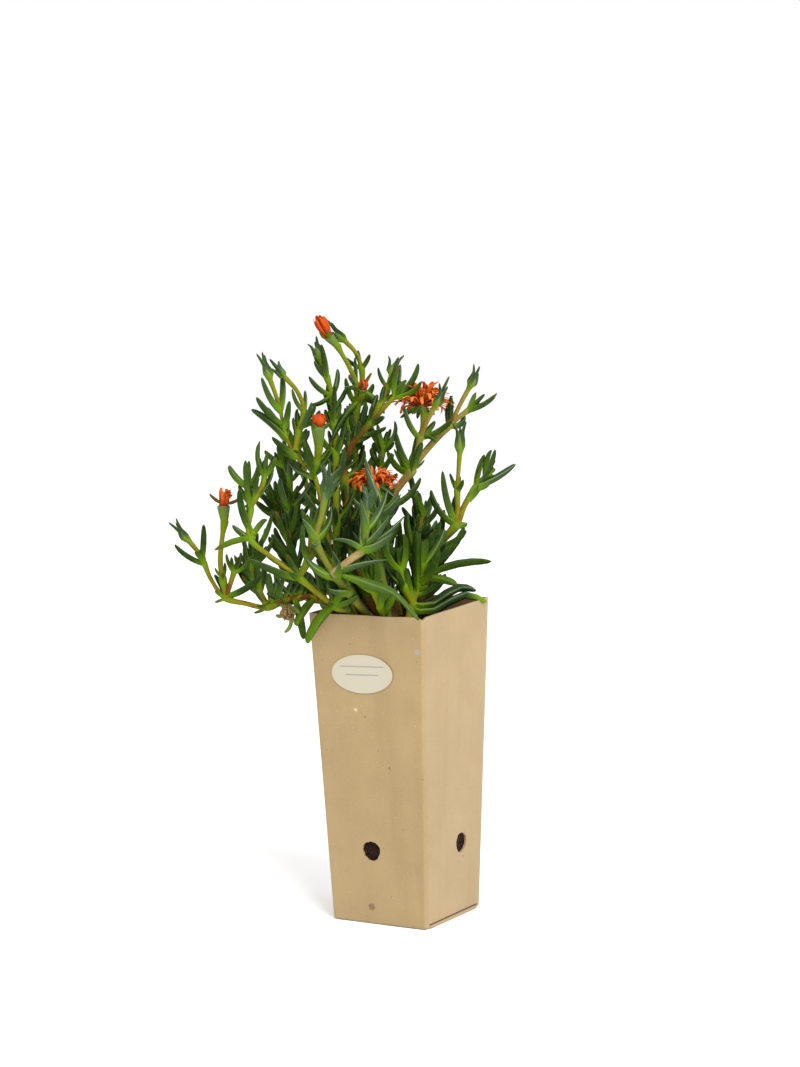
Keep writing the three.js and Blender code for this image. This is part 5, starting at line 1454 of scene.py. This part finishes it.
def makeWithered():
    stem = next(stem for stem in stems if "withered" in stem)
    body, tips = stem["withered"]["body"], stem["withered"]["tips"]
    shift, lean = np.array(withered["shift"]), np.array(withered["lean"])
    rng = np.random.default_rng(8300)
    guide = newGuide()
    for i in range(withered["ribs"]):
        turned = turnedBy(body.aside, body.ahead, 2 * math.pi * i / withered["ribs"])
        rows = withered["bodyRows"]
        radius = growth["withered"]["radius"] * 0.8
        points = [body.point(t) + shift + lean * t + turned * radius * share for t, share in rows]
        keels = [turned] * len(rows)
        addLine(guide, points, keels, thickness=[radius * share * 0.34 for _, share in rows],
                glow=[min(1, 1.5 * (1 - t)) for t, _ in rows])
    for tip in tips:
        addLine(guide, [tip.point(k / 6) + shift + lean for k in range(7)],
                [tip.inner(k / 6) for k in range(7)],
                thickness=[1.1 * rowsAt(strapRows, k / 6) for k in range(7)], glow=0.15)
    for i in range(withered["scraps"]):
        turned = turnedBy(body.aside, body.ahead, rng.uniform(0, 2 * math.pi))
        start = body.point(rng.uniform(0.5, 0.9)) + shift + lean * 0.8 + turned * rng.uniform(0.5, 2.8)
        length = rng.uniform(*withered["scrapLength"])
        heading = leaning(body.ahead, turned, rng.uniform(0.1, 1.0))
        points, faces = strapPath(start, heading, -up, length, rng.uniform(-0.8, 3.0), rng.normal(0, 0.8),
                                  strapPlaces)
        addLine(guide, points, faces, thickness=withered["scrapHalf"] * strapWidths,
                glow=0.6 * (rng.random() < 0.25))
    start = body.point(0.75) + shift + lean
    for heading, length, curl in withered["hooks"]:
        points, _ = strapPath(start, np.array(heading), np.array((-1.0, 0, 0)), length, curl, 0.1,
                              strapPlaces)
        addLine(guide, points, [np.array((0.3, -0.95, 0))] * len(points),
                thickness=withered["hookHalf"] * strapWidths, glow=0.9)
    piece = runNodes("withered_head", guideMesh("withered", guide), strapTree,
                     {"Strap points": 6, "Strap thickness": 0.25, "Strap skin": witheredSkin})
    settle(piece, "withered", "withered_bloom")


makeWithered()
print("withered bloom dressed")


# the folded card pot

pot = {
    "cells": 32,            # across each wall
    "foldRadius": 2.2,
    "foldSteps": 4,
    "footRows": (0.0, 0.35, 1.1, 2.0, 3.0),     # heights of the closer rows at the foot
    "firstRow": 5,
    "rowStep": 2.5,
    "patch": 6,             # cells from a drain hole's middle to the edge of its patch
    "drainRadius": 7.0,
    "drains": ((0, -3.5, 52), (1, 10, 52), (2, 2, 53), (3, -5, 53)),    # wall, mm along it, height
    "raggedness": 0.35,
    "waviness": 0.3,
    "rimWave": 0.45,
    "notch": 1.6,
    "flapProud": 0.7,
    "slitHalf": 33,
    "footInset": ((0.0, 1.4), (0.35, 0.55), (1.1, 0.0)),
}


soil = {
    "top": 208.0, "foot": 2.4, "gap": 0.25, "cells": 44, "relief": 3.2, "sideRelief": 0.9,
    "crumbs": 640000.0, "fibres": 200000.0,      # a square metre
    "crumbSize": (0.38, 1.4),
    "drainReach": 12,
    "dark": "#140D0A", "brown": "#2E1D15", "bark": "#4A2C1C", "coir": "#5E3A26",
}


def wallPlace(face, along, out, z):
    # wall 0 faces -Y, 1 +X, 2 +Y and 3 -X
    x, y = along, -out
    for _ in range(face):
        x, y = -y, x
    return x, y, z


def wavy(face, along, z):
    # how far the card bows out of its plane
    bow = noise.noise(Vector((along / 34, z / 48, face * 7.3))) * pot["waviness"]
    return bow * ramp(card["top"] / 2 - abs(along), 0, 12)


def flatHalf(z):
    # half of a wall's width between its folds
    return potHalf(z) - pot["foldRadius"]


def wallPoint(face, along, z, inset=0.0):
    half = potHalf(z)
    out = half + wavy(face, along, z) - inset
    if face == 1 and z <= 2.01 and abs(along) < pot["slitHalf"]:
        out = half + pot["flapProud"]
    return wallPlace(face, along, out, z)


def foldPoint(face, share, z, inset=0.0):
    # round the fold between this wall and the next
    radius, half = pot["foldRadius"], potHalf(z) - inset
    angle = share * math.pi / 2
    along = half - radius + radius * math.sin(angle)
    return wallPlace(face, along, half - radius + radius * math.cos(angle), z)


def atRim(x, y, z):
    # lifts the upper rows to the sloping, slightly wavy rim
    wave = noise.noise(Vector((x / 17, y / 17, 3.1))) * pot["rimWave"]
    corner = math.hypot(x - card["top"] / 2, y + card["top"] / 2)
    dip = pot["notch"] * math.exp(-(corner / 3.2) ** 2)
    share = ramp(z, 150, card["height"])
    return x, y, z + (rimHeight(x, y) - card["height"] + wave - dip) * share


def potShell():
    cells, steps, patch = pot["cells"], pot["foldSteps"], pot["patch"]
    top = card["height"]
    rows = list(pot["footRows"])
    rows += [z for z in np.arange(pot["firstRow"], top, pot["rowStep"]) if z <= top - 1.2] + [top]
    work = bmesh.new()
    grid = []
    for z in rows:
        inset = rowsAt(pot["footInset"], z)
        ring = []
        for face in range(4):
            for k in range(cells):
                along = flatHalf(z) * (2 * k / cells - 1)
                ring.append(work.verts.new(atRim(*wallPoint(face, along, z, inset))))
            for k in range(steps):
                ring.append(work.verts.new(atRim(*foldPoint(face, k / steps, z, inset))))
        grid.append(ring)
    span = cells + steps
    count = len(grid[0])
    holes = {}
    for face, along, height in pot["drains"]:
        row = min(range(len(rows)), key=lambda r: abs(rows[r] - height))
        column = face * span + round((along / flatHalf(height) + 1) / 2 * cells)
        holes[face] = (row, column, along, height)
    for r in range(len(rows) - 1):
        for c in range(count):
            if any(row - patch <= r < row + patch and column - patch <= c < column + patch
                   for row, column, _, _ in holes.values()):
                continue
            middle = cellMiddle(grid, r, c, count)
            if rows[r] == 2.0 and middle[0] > 30 and abs(middle[1]) < pot["slitHalf"]:
                continue
            after = (c + 1) % count
            work.faces.new((grid[r][c], grid[r][after], grid[r + 1][after], grid[r + 1][c]))
    for face, (row, column, along, height) in holes.items():
        drainPatch(work, grid, rows, row, column, face, along, height)
    work.faces.new(list(reversed(grid[0])))
    bmesh.ops.delete(work, geom=[v for v in work.verts if not v.link_faces], context="VERTS")
    return toMesh(work, "card_box")


def cellMiddle(grid, r, c, count):
    corners = (grid[r][c], grid[r][(c + 1) % count], grid[r + 1][(c + 1) % count], grid[r + 1][c])
    return sum((v.co for v in corners), Vector()) / 4


def drainPatch(work, grid, rows, row, column, face, along, height):
    # rings of points that pass from the square gap in the wall's grid to a slightly ragged round hole
    patch = pot["patch"]
    edge = ([(row - patch, column + k) for k in range(-patch, patch)]
            + [(row + k, column + patch) for k in range(-patch, patch)]
            + [(row + patch, column - k) for k in range(-patch, patch)]
            + [(row - k, column - patch) for k in range(-patch, patch)])
    outer = [grid[r][c] for r, c in edge]
    ragged = np.random.default_rng(40 + face)
    flats = []
    for i, (r, c) in enumerate(edge):
        u = (c - face * (pot["cells"] + pot["foldSteps"])) * 2 / pot["cells"] - 1
        flats.append((u * flatHalf(rows[r]) - along, rows[r] - height))
    rings = [outer]
    jitter = ragged.normal(0, pot["raggedness"] / 2, len(edge))
    for share in (0.4, 0.75, 1.0):
        ring = []
        for i, (a, b) in enumerate(flats):
            angle = math.atan2(b, a)
            reach = pot["drainRadius"] + (jitter[i] + 0.25 * math.sin(3 * angle + face)) * share
            x, z = reach * math.cos(angle), reach * math.sin(angle)
            ring.append(work.verts.new(wallPoint(face, along + a + (x - a) * share,
                                                 height + b + (z - b) * share)))
        rings.append(ring)
    for first, second in zip(rings, rings[1:]):
        bridge(work, first, second)


def thicken(piece, thick, sharpAngle, even):
    # gives a sheet its thickness, inwards, as a plain mesh with smooth faces
    solid = piece.modifiers.new("sheet", "SOLIDIFY")
    solid.thickness = thick * mm
    solid.offset = -1
    solid.use_even_offset = even
    mesh = evaluated(piece)
    piece.modifiers.clear()
    piece.data = mesh
    mesh.shade_smooth()
    mesh.set_sharp_from_angle(angle=math.radians(sharpAngle))


kraft = {
    "front": "#8F7850",
    "pale": "#957E56",
    "dark": "#836C45",
    "fleckDark": "#55402A",
    "fleckPale": "#BCAB8C",
    "fleckBlue": "#8A8C8A",
    "stain": "#62472C",
    # the inner face above the soil is darker: partly damp card, partly painted shade
    "soaked": "#694A28",     # the inner face above the soil
    "fibre": 2100.0,         # fibres about 0.5 mm wide, drawn that coarse so that they show, and 2 mm long
    "cloud": 38.0,           # soft clouds about 26 mm across
    "band": 60.8,            # upright bands about 16 mm wide
    "fleck": 170.0,          # a fleck each 6 mm or so
    "flute": 2.6,            # mm from one inner wave of the card to the next
    # seed, size as a share of the mean spacing, least draw that shows, colour and strength
    "flecks": ((0.0, 0.055, 0.72, "fleckDark", 0.8), (0.5, 0.06, 0.66, "fleckPale", 0.8),
               (0.9, 0.03, 0.4, "fleckDark", 0.45), (1.3, 0.035, 0.5, "fleckPale", 0.5)),
    # single marks: place and reach in mm, and colour
    "marks": (((-5.2, -38.0, 12), 2.4, "stain"), ((40.5, -45, 195), 1.7, "fleckBlue"),
              ((-11, -43, 151.5), 1.3, "fleckPale"), ((-3.5, -43, 147), 0.6, "stain"),
              ((14, -42.5, 112), 0.9, "stain")),
}


def addFlecks(tree, made):
    layers = []
    for seed, size, least, tint, strength in kraft["flecks"]:
        shifted = addNode(tree, "ShaderNodeMapping", None,
                          {"Vector": made["place"], "Location": (seed, seed, seed)})
        cell = addNode(tree, "ShaderNodeTexVoronoi", {"feature": "F1"},
                       {"Vector": shifted, "Scale": kraft["fleck"] * (1 + seed)}, None)
        made["away"] = cell["Distance"]
        made["draw"] = addNode(tree, "ShaderNodeSeparateColor", None, {"Color": cell["Color"]})
        label = "fleck" + str(seed)
        addSteps(tree, made, (
            ("dot", "SMOOTHSTEP", "away", size * 1.6, size),
            ("chosen", "GREATER_THAN", "draw", least),
            (label, "MULTIPLY", "dot", "chosen")))
        layers.append((tint, label, strength))
    return layers


def addMarks(tree, made):
    layers = []
    for place, reach, tint in kraft["marks"]:
        made["away"] = addNode(tree, "ShaderNodeVectorMath", {"operation": "DISTANCE"},
                               {0: made["place"], 1: tuple(v * mm for v in place)}, "Value")
        label = "mark" + str(place)
        addSteps(tree, made, [(label, "MULTIPLY_ADD", "ragged", 0.003, "away")])
        layers.append((tint, label, 0.75, (reach + 2.2) * mm, (reach + 1.2) * mm))
    return layers


def makeKraft():
    # recycled kraft card, folded: matt brown with fibres, soft clouds, dark and pale flecks, faint flutes
    # from the waves inside it, edges rubbed pale, and an inner face near the rim drawn darker, partly damp
    # and partly painted shade
    look = kraft
    material, tree, made = newSkin("kraftCardFolded", ("fold", "inside"), {
        "upright": (look["fibre"], 2, 0.6, (1, 1, 0.22)), "level": (look["fibre"], 2, 0.6, (0.25, 0.25, 1)),
        "clouds": (look["cloud"], 3, 0.5), "bands": (look["band"], 2, 0.5, (1, 1, 0.06)),
        "ragged": (900, 2, 0.5), "wear": (300, 3, 0.5)})
    axes = addNode(tree, "ShaderNodeSeparateXYZ", None, {"Vector": made["place"]}, None)
    made.update(axes.items())
    addSteps(tree, made, (
        ("fibres", "ADD", "upright", "level"),
        ("worn", "SMOOTHSTEP", "wear", 0.35, 0.7),
        ("rubbed", "MULTIPLY", "fold", "worn"),
        # the darker inner face near the rim is partly damp card and partly painted shade
        ("wet", "MULTIPLY_ADD", "clouds", 0.5, 0.55),
        ("damp", "MULTIPLY", "inside", "wet"),
        ("run", "ADD", "X", "Y"),
        ("turns", "MULTIPLY", "run", 2 * math.pi / (look["flute"] * mm)),
        ("flutes", "SINE", "turns"),
        ("fluteHeight", "MULTIPLY", "flutes", 0.12),
        ("height", "MULTIPLY_ADD", "fibres", 0.5, "fluteHeight")))
    layers = [("pale", "clouds", 1, 0.3, 0.7), ("dark", "bands", 0.35, 0.5, 0.75),
              ("fleckPale", "fibres", 0.09, 0.95, 1.25), ("dark", "fibres", 0.08, 0.9, 0.7)]
    layers += addFlecks(tree, made) + addMarks(tree, made)
    layers += [("fleckPale", "rubbed", 0.12), ("soaked", "damp", 1)]
    finishSkin(tree, made["height"], 0.00012, 0.2, {
        "Base Color": layered(tree, made, look, "front", layers), "Roughness": 0.6, "IOR": 1.5,
        "Sheen Weight": 0.35, "Sheen Roughness": 0.4})
    return material


def makePot():
    piece = addObject("card_box", potShell(), makeKraft())
    thicken(piece, card["thick"], 38, True)
    fold = piece.data.attributes.new("fold", "FLOAT", "POINT")
    spots = np.empty(len(piece.data.vertices) * 3)
    piece.data.vertices.foreach_get("co", spots)
    spots = np.abs(spots.reshape(-1, 3)) / mm
    halves = card["foot"] / 2 + (card["top"] - card["foot"]) / 2 * spots[:, 2] / card["height"]
    near = np.minimum(halves - spots[:, 0], halves - spots[:, 1])
    both = np.maximum(halves - spots[:, 0], halves - spots[:, 1])
    worn = np.clip(1 - both / (pot["foldRadius"] * 0.9), 0, 1) * (near < 1.0)
    fold.data.foreach_set("value", worn.astype(np.float32))
    # marks the inner face near the rim for the darker colour, partly damp and partly painted shade
    inner = ((near > card["thick"] * 0.75) & (spots[:, 2] > soil["top"] - 15)).astype(np.float32)
    piece.data.attributes.new("inside", "FLOAT", "POINT").data.foreach_set("value", inner)
    settle(piece, "card", "card_pot")


makePot()
print("pot folded")


# the oval label

label = {
    "width": 49,
    "height": 27,
    "thick": 0.35,
    "along": -4,
    "centre": 177,
    "tilt": 2.5,
    "sides": 72,
    "rings": 6,
    "gap": 0.3,
    "lift": 0.5,           # of the curled end
    "cream": "#ACA593",
    "aged": "#A29A84",
    "ink": "#6F7A82",
    "lines": ((5.2, 17.5), (-0.6, 13.0)),      # height and half length
    "lineHalf": 0.32,
    "lineSoft": 0.15,
}


def makeLabelPaper():
    # smooth coated paper with two thin ruled lines in grey-blue
    material, tree, made = newSkin("coatedPaperRuled", (), {"clouds": (400, 3, 0.5), "tooth": (1200, 2, 0.5)})
    spot = addNode(tree, "ShaderNodeAttribute", {"attribute_name": "place"}, None, "Vector")
    made.update(addNode(tree, "ShaderNodeSeparateXYZ", None, {"Vector": spot}, None).items())
    layers = [("aged", "clouds", 0.12)]
    for height, half in label["lines"]:
        line = "line" + str(height)
        addSteps(tree, made, (
            ("above", "SUBTRACT", "Y", height),
            ("away", "ABSOLUTE", "above"),
            ("aside", "ABSOLUTE", "X"),
            ("within", "LESS_THAN", "aside", half),
            ("drawn", "SMOOTHSTEP", "away", label["lineHalf"] + label["lineSoft"], label["lineHalf"]),
            (line, "MULTIPLY", "drawn", "within")))
        layers.append(("ink", line, 0.8))
    finishSkin(tree, made["tooth"], 0.00004, 0.3, {
        "Base Color": layered(tree, made, label, "cream", layers), "Roughness": 0.55, "IOR": 1.5})
    return material


def makeLabel():
    lean = math.atan2((card["top"] - card["foot"]) / 2, card["height"])
    tilt = math.radians(label["tilt"])
    half = potHalf(label["centre"])
    work = bmesh.new()
    layer = work.verts.layers.float_vector.new("place")

    def spot(a, b, share):
        # a and b in the label's own plane, in mm from its middle
        x = a * math.cos(tilt) - b * math.sin(tilt)
        z = a * math.sin(tilt) + b * math.cos(tilt)
        curl = label["lift"] * ramp(a, 12, 24.5) * share ** 3
        curl += 0.08 * noise.noise(Vector((a / 9, b / 9, 0.4)))
        out = half + label["gap"] + label["thick"] + curl + z * math.sin(lean)
        vertex = work.verts.new((x + label["along"], -out, label["centre"] + z * math.cos(lean)))
        vertex[layer] = (a, b, 0)
        return vertex
    rings = [[spot(0, 0, 0)]]
    for k in range(1, label["rings"] + 1):
        share = k / label["rings"]
        rings.append([spot(label["width"] / 2 * share * math.cos(2 * math.pi * i / label["sides"]),
                           label["height"] / 2 * share * math.sin(2 * math.pi * i / label["sides"]), share)
                      for i in range(label["sides"])])
    for i in range(label["sides"]):
        k = (i + 1) % label["sides"]
        work.faces.new((rings[0][0], rings[1][i], rings[1][k]))
        for first, second in zip(rings[1:], rings[2:]):
            work.faces.new((first[i], second[i], second[k], first[k]))
    bmesh.ops.recalc_face_normals(work, faces=work.faces)
    mesh = toMesh(work, "oval_label")
    if mesh.polygons[0].normal.y > 0:
        mesh.flip_normals()
    piece = addObject("oval_label", mesh, makeLabelPaper())
    thicken(piece, label["thick"], 40, False)
    settle(piece, "paper", "label")


makeLabel()
print("label made")


# potting soil

def makeSoilSkin():
    # bark and coir mix: dark crumbs with browner grains and reddish fibres, quite matt
    material, tree, made = newSkin("pottingSoilCoir", ("fibre",), {
        "coarse": (260, 4, 0.6), "grain": (1800, 3, 0.6)})
    colour = layered(tree, made, soil, "dark", (
        ("brown", "coarse", 1, 0.35, 0.65), ("bark", "grain", 0.6, 0.55, 0.75), ("coir", "fibre", 1)))
    finishSkin(tree, made["grain"], 0.0006, 0.8, {
        "Base Color": colour, "Roughness": 0.9, "IOR": 1.4, "Specular IOR Level": 0.25})
    return material


def makeSoilTree():
    tree, given = newGroup("scatterCrumbs", {
        "Crumbs": "Float", "Fibres": "Float", "Least size": "Float", "Most size": "Float",
        "Soil skin": "Material"})
    shown = addNode(tree, "GeometryNodeInputNamedAttribute", {"data_type": "FLOAT"}, {"Name": "shown"})
    crumb = addNode(tree, "GeometryNodeMeshIcoSphere", None, {"Radius": 1.0, "Subdivisions": 1})
    path = addNode(tree, "GeometryNodeCurvePrimitiveBezierSegment", None,
                   {"Resolution": 4, "Start": (-2.4, 0, 0), "Start Handle": (-1, 1.2, 0.8),
                    "End Handle": (1, -1.0, 0.9), "End": (2.4, 0.4, 0.2)})
    thin = addNode(tree, "GeometryNodeCurvePrimitiveCircle", {"mode": "RADIUS"},
                   {"Resolution": 3, "Radius": 0.13})
    fibre = addNode(tree, "GeometryNodeCurveToMesh", None,
                    {"Curve": path, "Profile Curve": thin, "Fill Caps": True})
    marked = addNode(tree, "GeometryNodeStoreNamedAttribute", {"data_type": "FLOAT", "domain": "POINT"},
                     {"Geometry": fibre, "Name": "fibre", "Value": 0.8})
    parts = []
    for seed, density, shape in ((11, given["Crumbs"], crumb), (12, given["Fibres"], marked)):
        amount = addNode(tree, "ShaderNodeMath", {"operation": "MULTIPLY"}, {0: density, 1: shown})
        spots = addNode(tree, "GeometryNodeDistributePointsOnFaces", {"distribute_method": "RANDOM"},
                        {"Mesh": given["Geometry"], "Density": amount, "Seed": seed})
        spin = addNode(tree, "FunctionNodeRandomValue", {"data_type": "FLOAT_VECTOR"},
                       {1: (6.28, 6.28, 6.28), "Seed": seed + 20})
        turned = addNode(tree, "FunctionNodeEulerToRotation", None, {"Euler": spin})
        size = addNode(tree, "FunctionNodeRandomValue", {"data_type": "FLOAT"},
                       {2: given["Least size"], 3: given["Most size"], "Seed": seed + 40}, 1)
        parts.append(addNode(tree, "GeometryNodeInstanceOnPoints", None,
                             {"Points": spots, "Instance": shape, "Rotation": turned, "Scale": size}))
    return finishGroup(tree, parts + [given["Geometry"]], [(given["Soil skin"], True)])


def soilHalf(z):
    return potHalf(z) - card["thick"] - soil["gap"]


def makeSoil():
    # a tapered block: a lumpy top, and walls that are rough where a drain hole shows them
    work = bmesh.new()
    layer = work.verts.layers.float.new("shown")
    cells = soil["cells"]
    levels = [soil["foot"]] + [soil["foot"] + (soil["top"] - soil["foot"]) * k / 60 for k in range(1, 61)]
    rings = []
    for z in levels:
        ring = []
        for face in range(4):
            for k in range(cells):
                along = soilHalf(z) * (2 * k / cells - 1)
                hole = next(h for h in pot["drains"] if h[0] == face)
                near = ramp(soil["drainReach"] - math.hypot(along - hole[1], z - hole[2]), 0, 4)
                rough = noise.noise(Vector((along / 2.2, z / 2.2, face * 3.7))) * soil["sideRelief"] - 0.9
                sunk = (rough if near > 0 else -0.3) * max(near, 0.3)
                x, y, _ = wallPlace(face, along, soilHalf(z) + sunk, z)
                vertex = work.verts.new((x, y, z))
                vertex[layer] = near
                ring.append(vertex)
        rings.append(ring)
    for lower, upper in zip(rings, rings[1:]):
        bridge(work, lower, upper)
    work.faces.new(list(reversed(rings[0])))
    top = {}
    span = soilHalf(soil["top"]) - 0.15
    edge = rings[-1]
    for i in range(1, cells):
        for j in range(1, cells):
            x, y = span * (2 * i / cells - 1), span * (2 * j / cells - 1)
            lump = noise.noise(Vector((x / 11, y / 11, 0)))
            lump += 0.5 * noise.noise(Vector((x / 3.5, y / 3.5, 5)))
            top[i, j] = work.verts.new((x, y, soil["top"] + lump * soil["relief"] * 0.5))
            top[i, j][layer] = 1.0
    for k in range(cells):
        top[k, 0] = edge[k]
        top[cells, k] = edge[cells + k]
        top[cells - k, cells] = edge[2 * cells + k]
        top[0, cells - k] = edge[3 * cells + k]
    for i in range(cells):
        for j in range(cells):
            work.faces.new((top[i, j], top[i + 1, j], top[i + 1, j + 1], top[i, j + 1]))
    least, most = soil["crumbSize"]
    piece = runNodes("potting_soil", toMesh(work, "soilBlock"), makeSoilTree(), {
        "Crumbs": soil["crumbs"], "Fibres": soil["fibres"], "Least size": least * mm, "Most size": most * mm,
        "Soil skin": makeSoilSkin()})
    settle(piece, "soil", "soil")


makeSoil()
print("soil filled")


# floor, lights and camera

studio = {
    "floorSize": 6.0,
    "floor": "#FEFEFE",
    "shade": "#F8F8F8",
    "world": 1.0,
    "key": dict(place=(1.75, -1.25, 2.2), size=1.3, power=95, colour="#FFFCF5"),
    "fill": dict(place=(-1.9, -0.9, 1.2), size=2.0, power=4, colour="#F6F9FF"),
    "azimuth": 31.0,
    "pitch": 7.5,
    "roll": 1.44,
    "distance": 2.2,
    "aim": (0.0018, 0.2686),     # metres across the view, and up
    "focal": 3178.0,             # in pixels of the 800 x 1067 photograph
    "pixelsHigh": 1067,
    "sensor": 36.0,
}


def makeFloor():
    # seamless studio paper: matt white with the faintest tooth
    material, tree, made = newSkin("studioPaper", (), {"tooth": (60, 3, 0.5)})
    colour = layered(tree, made, studio, "floor", [("shade", "tooth", 0.08)])
    finishSkin(tree, made["tooth"], 0.0002, 0.2, {"Base Color": colour, "Roughness": 0.9})
    half = studio["floorSize"] / 2
    mesh = bpy.data.meshes.new("studioFloor")
    mesh.from_pydata([(-half, -half, -0.0003), (half, -half, -0.0003), (half, half, -0.0003),
                      (-half, half, -0.0003)], [], [(0, 1, 2, 3)])
    addObject("studio_floor", mesh, material)


def makeLights():
    world = bpy.data.worlds.new("studio")
    world.use_nodes = True
    background = world.node_tree.nodes["Background"]
    background.inputs["Color"].default_value = (1, 1, 1, 1)
    background.inputs["Strength"].default_value = studio["world"]
    bpy.context.scene.world = world
    bpy.context.scene.view_settings.view_transform = "Standard"
    for name in ("key", "fill"):
        given = studio[name]
        lamp = bpy.data.lights.new(name + "Light", "AREA")
        lamp.shape, lamp.size, lamp.energy = "SQUARE", given["size"], given["power"]
        lamp.color = linear(given["colour"])[:3]
        lit = bpy.data.objects.new(name + "Light", lamp)
        lit.location = given["place"]
        aim = Vector((0, 0, 0.2)) - Vector(given["place"])
        lit.rotation_euler = aim.to_track_quat("-Z", "Y").to_euler()
        bpy.context.collection.objects.link(lit)


def makeCamera():
    a, e, r = (math.radians(studio[key]) for key in ("azimuth", "pitch", "roll"))
    right = Vector((math.cos(a), math.sin(a), 0))
    back = Vector((math.sin(a) * math.cos(e), -math.cos(a) * math.cos(e), math.sin(e)))
    above = back.cross(right)
    across = right * math.cos(r) - above * math.sin(r)
    upwards = right * math.sin(r) + above * math.cos(r)
    aim = right * studio["aim"][0] + Vector((0, 0, studio["aim"][1]))
    lens = bpy.data.cameras.new("photoCamera")
    lens.sensor_fit = "VERTICAL"
    lens.sensor_height = studio["sensor"]
    lens.lens = studio["focal"] / studio["pixelsHigh"] * studio["sensor"]
    lens.clip_end = 20
    camera = bpy.data.objects.new("photoCamera", lens)
    camera.matrix_world = Matrix.Translation(aim + back * studio["distance"]) @ Matrix(
        (across, upwards, back)).transposed().to_4x4()
    bpy.context.collection.objects.link(camera)
    bpy.context.scene.camera = camera


makeFloor()
makeLights()
makeCamera()
print("studio set")
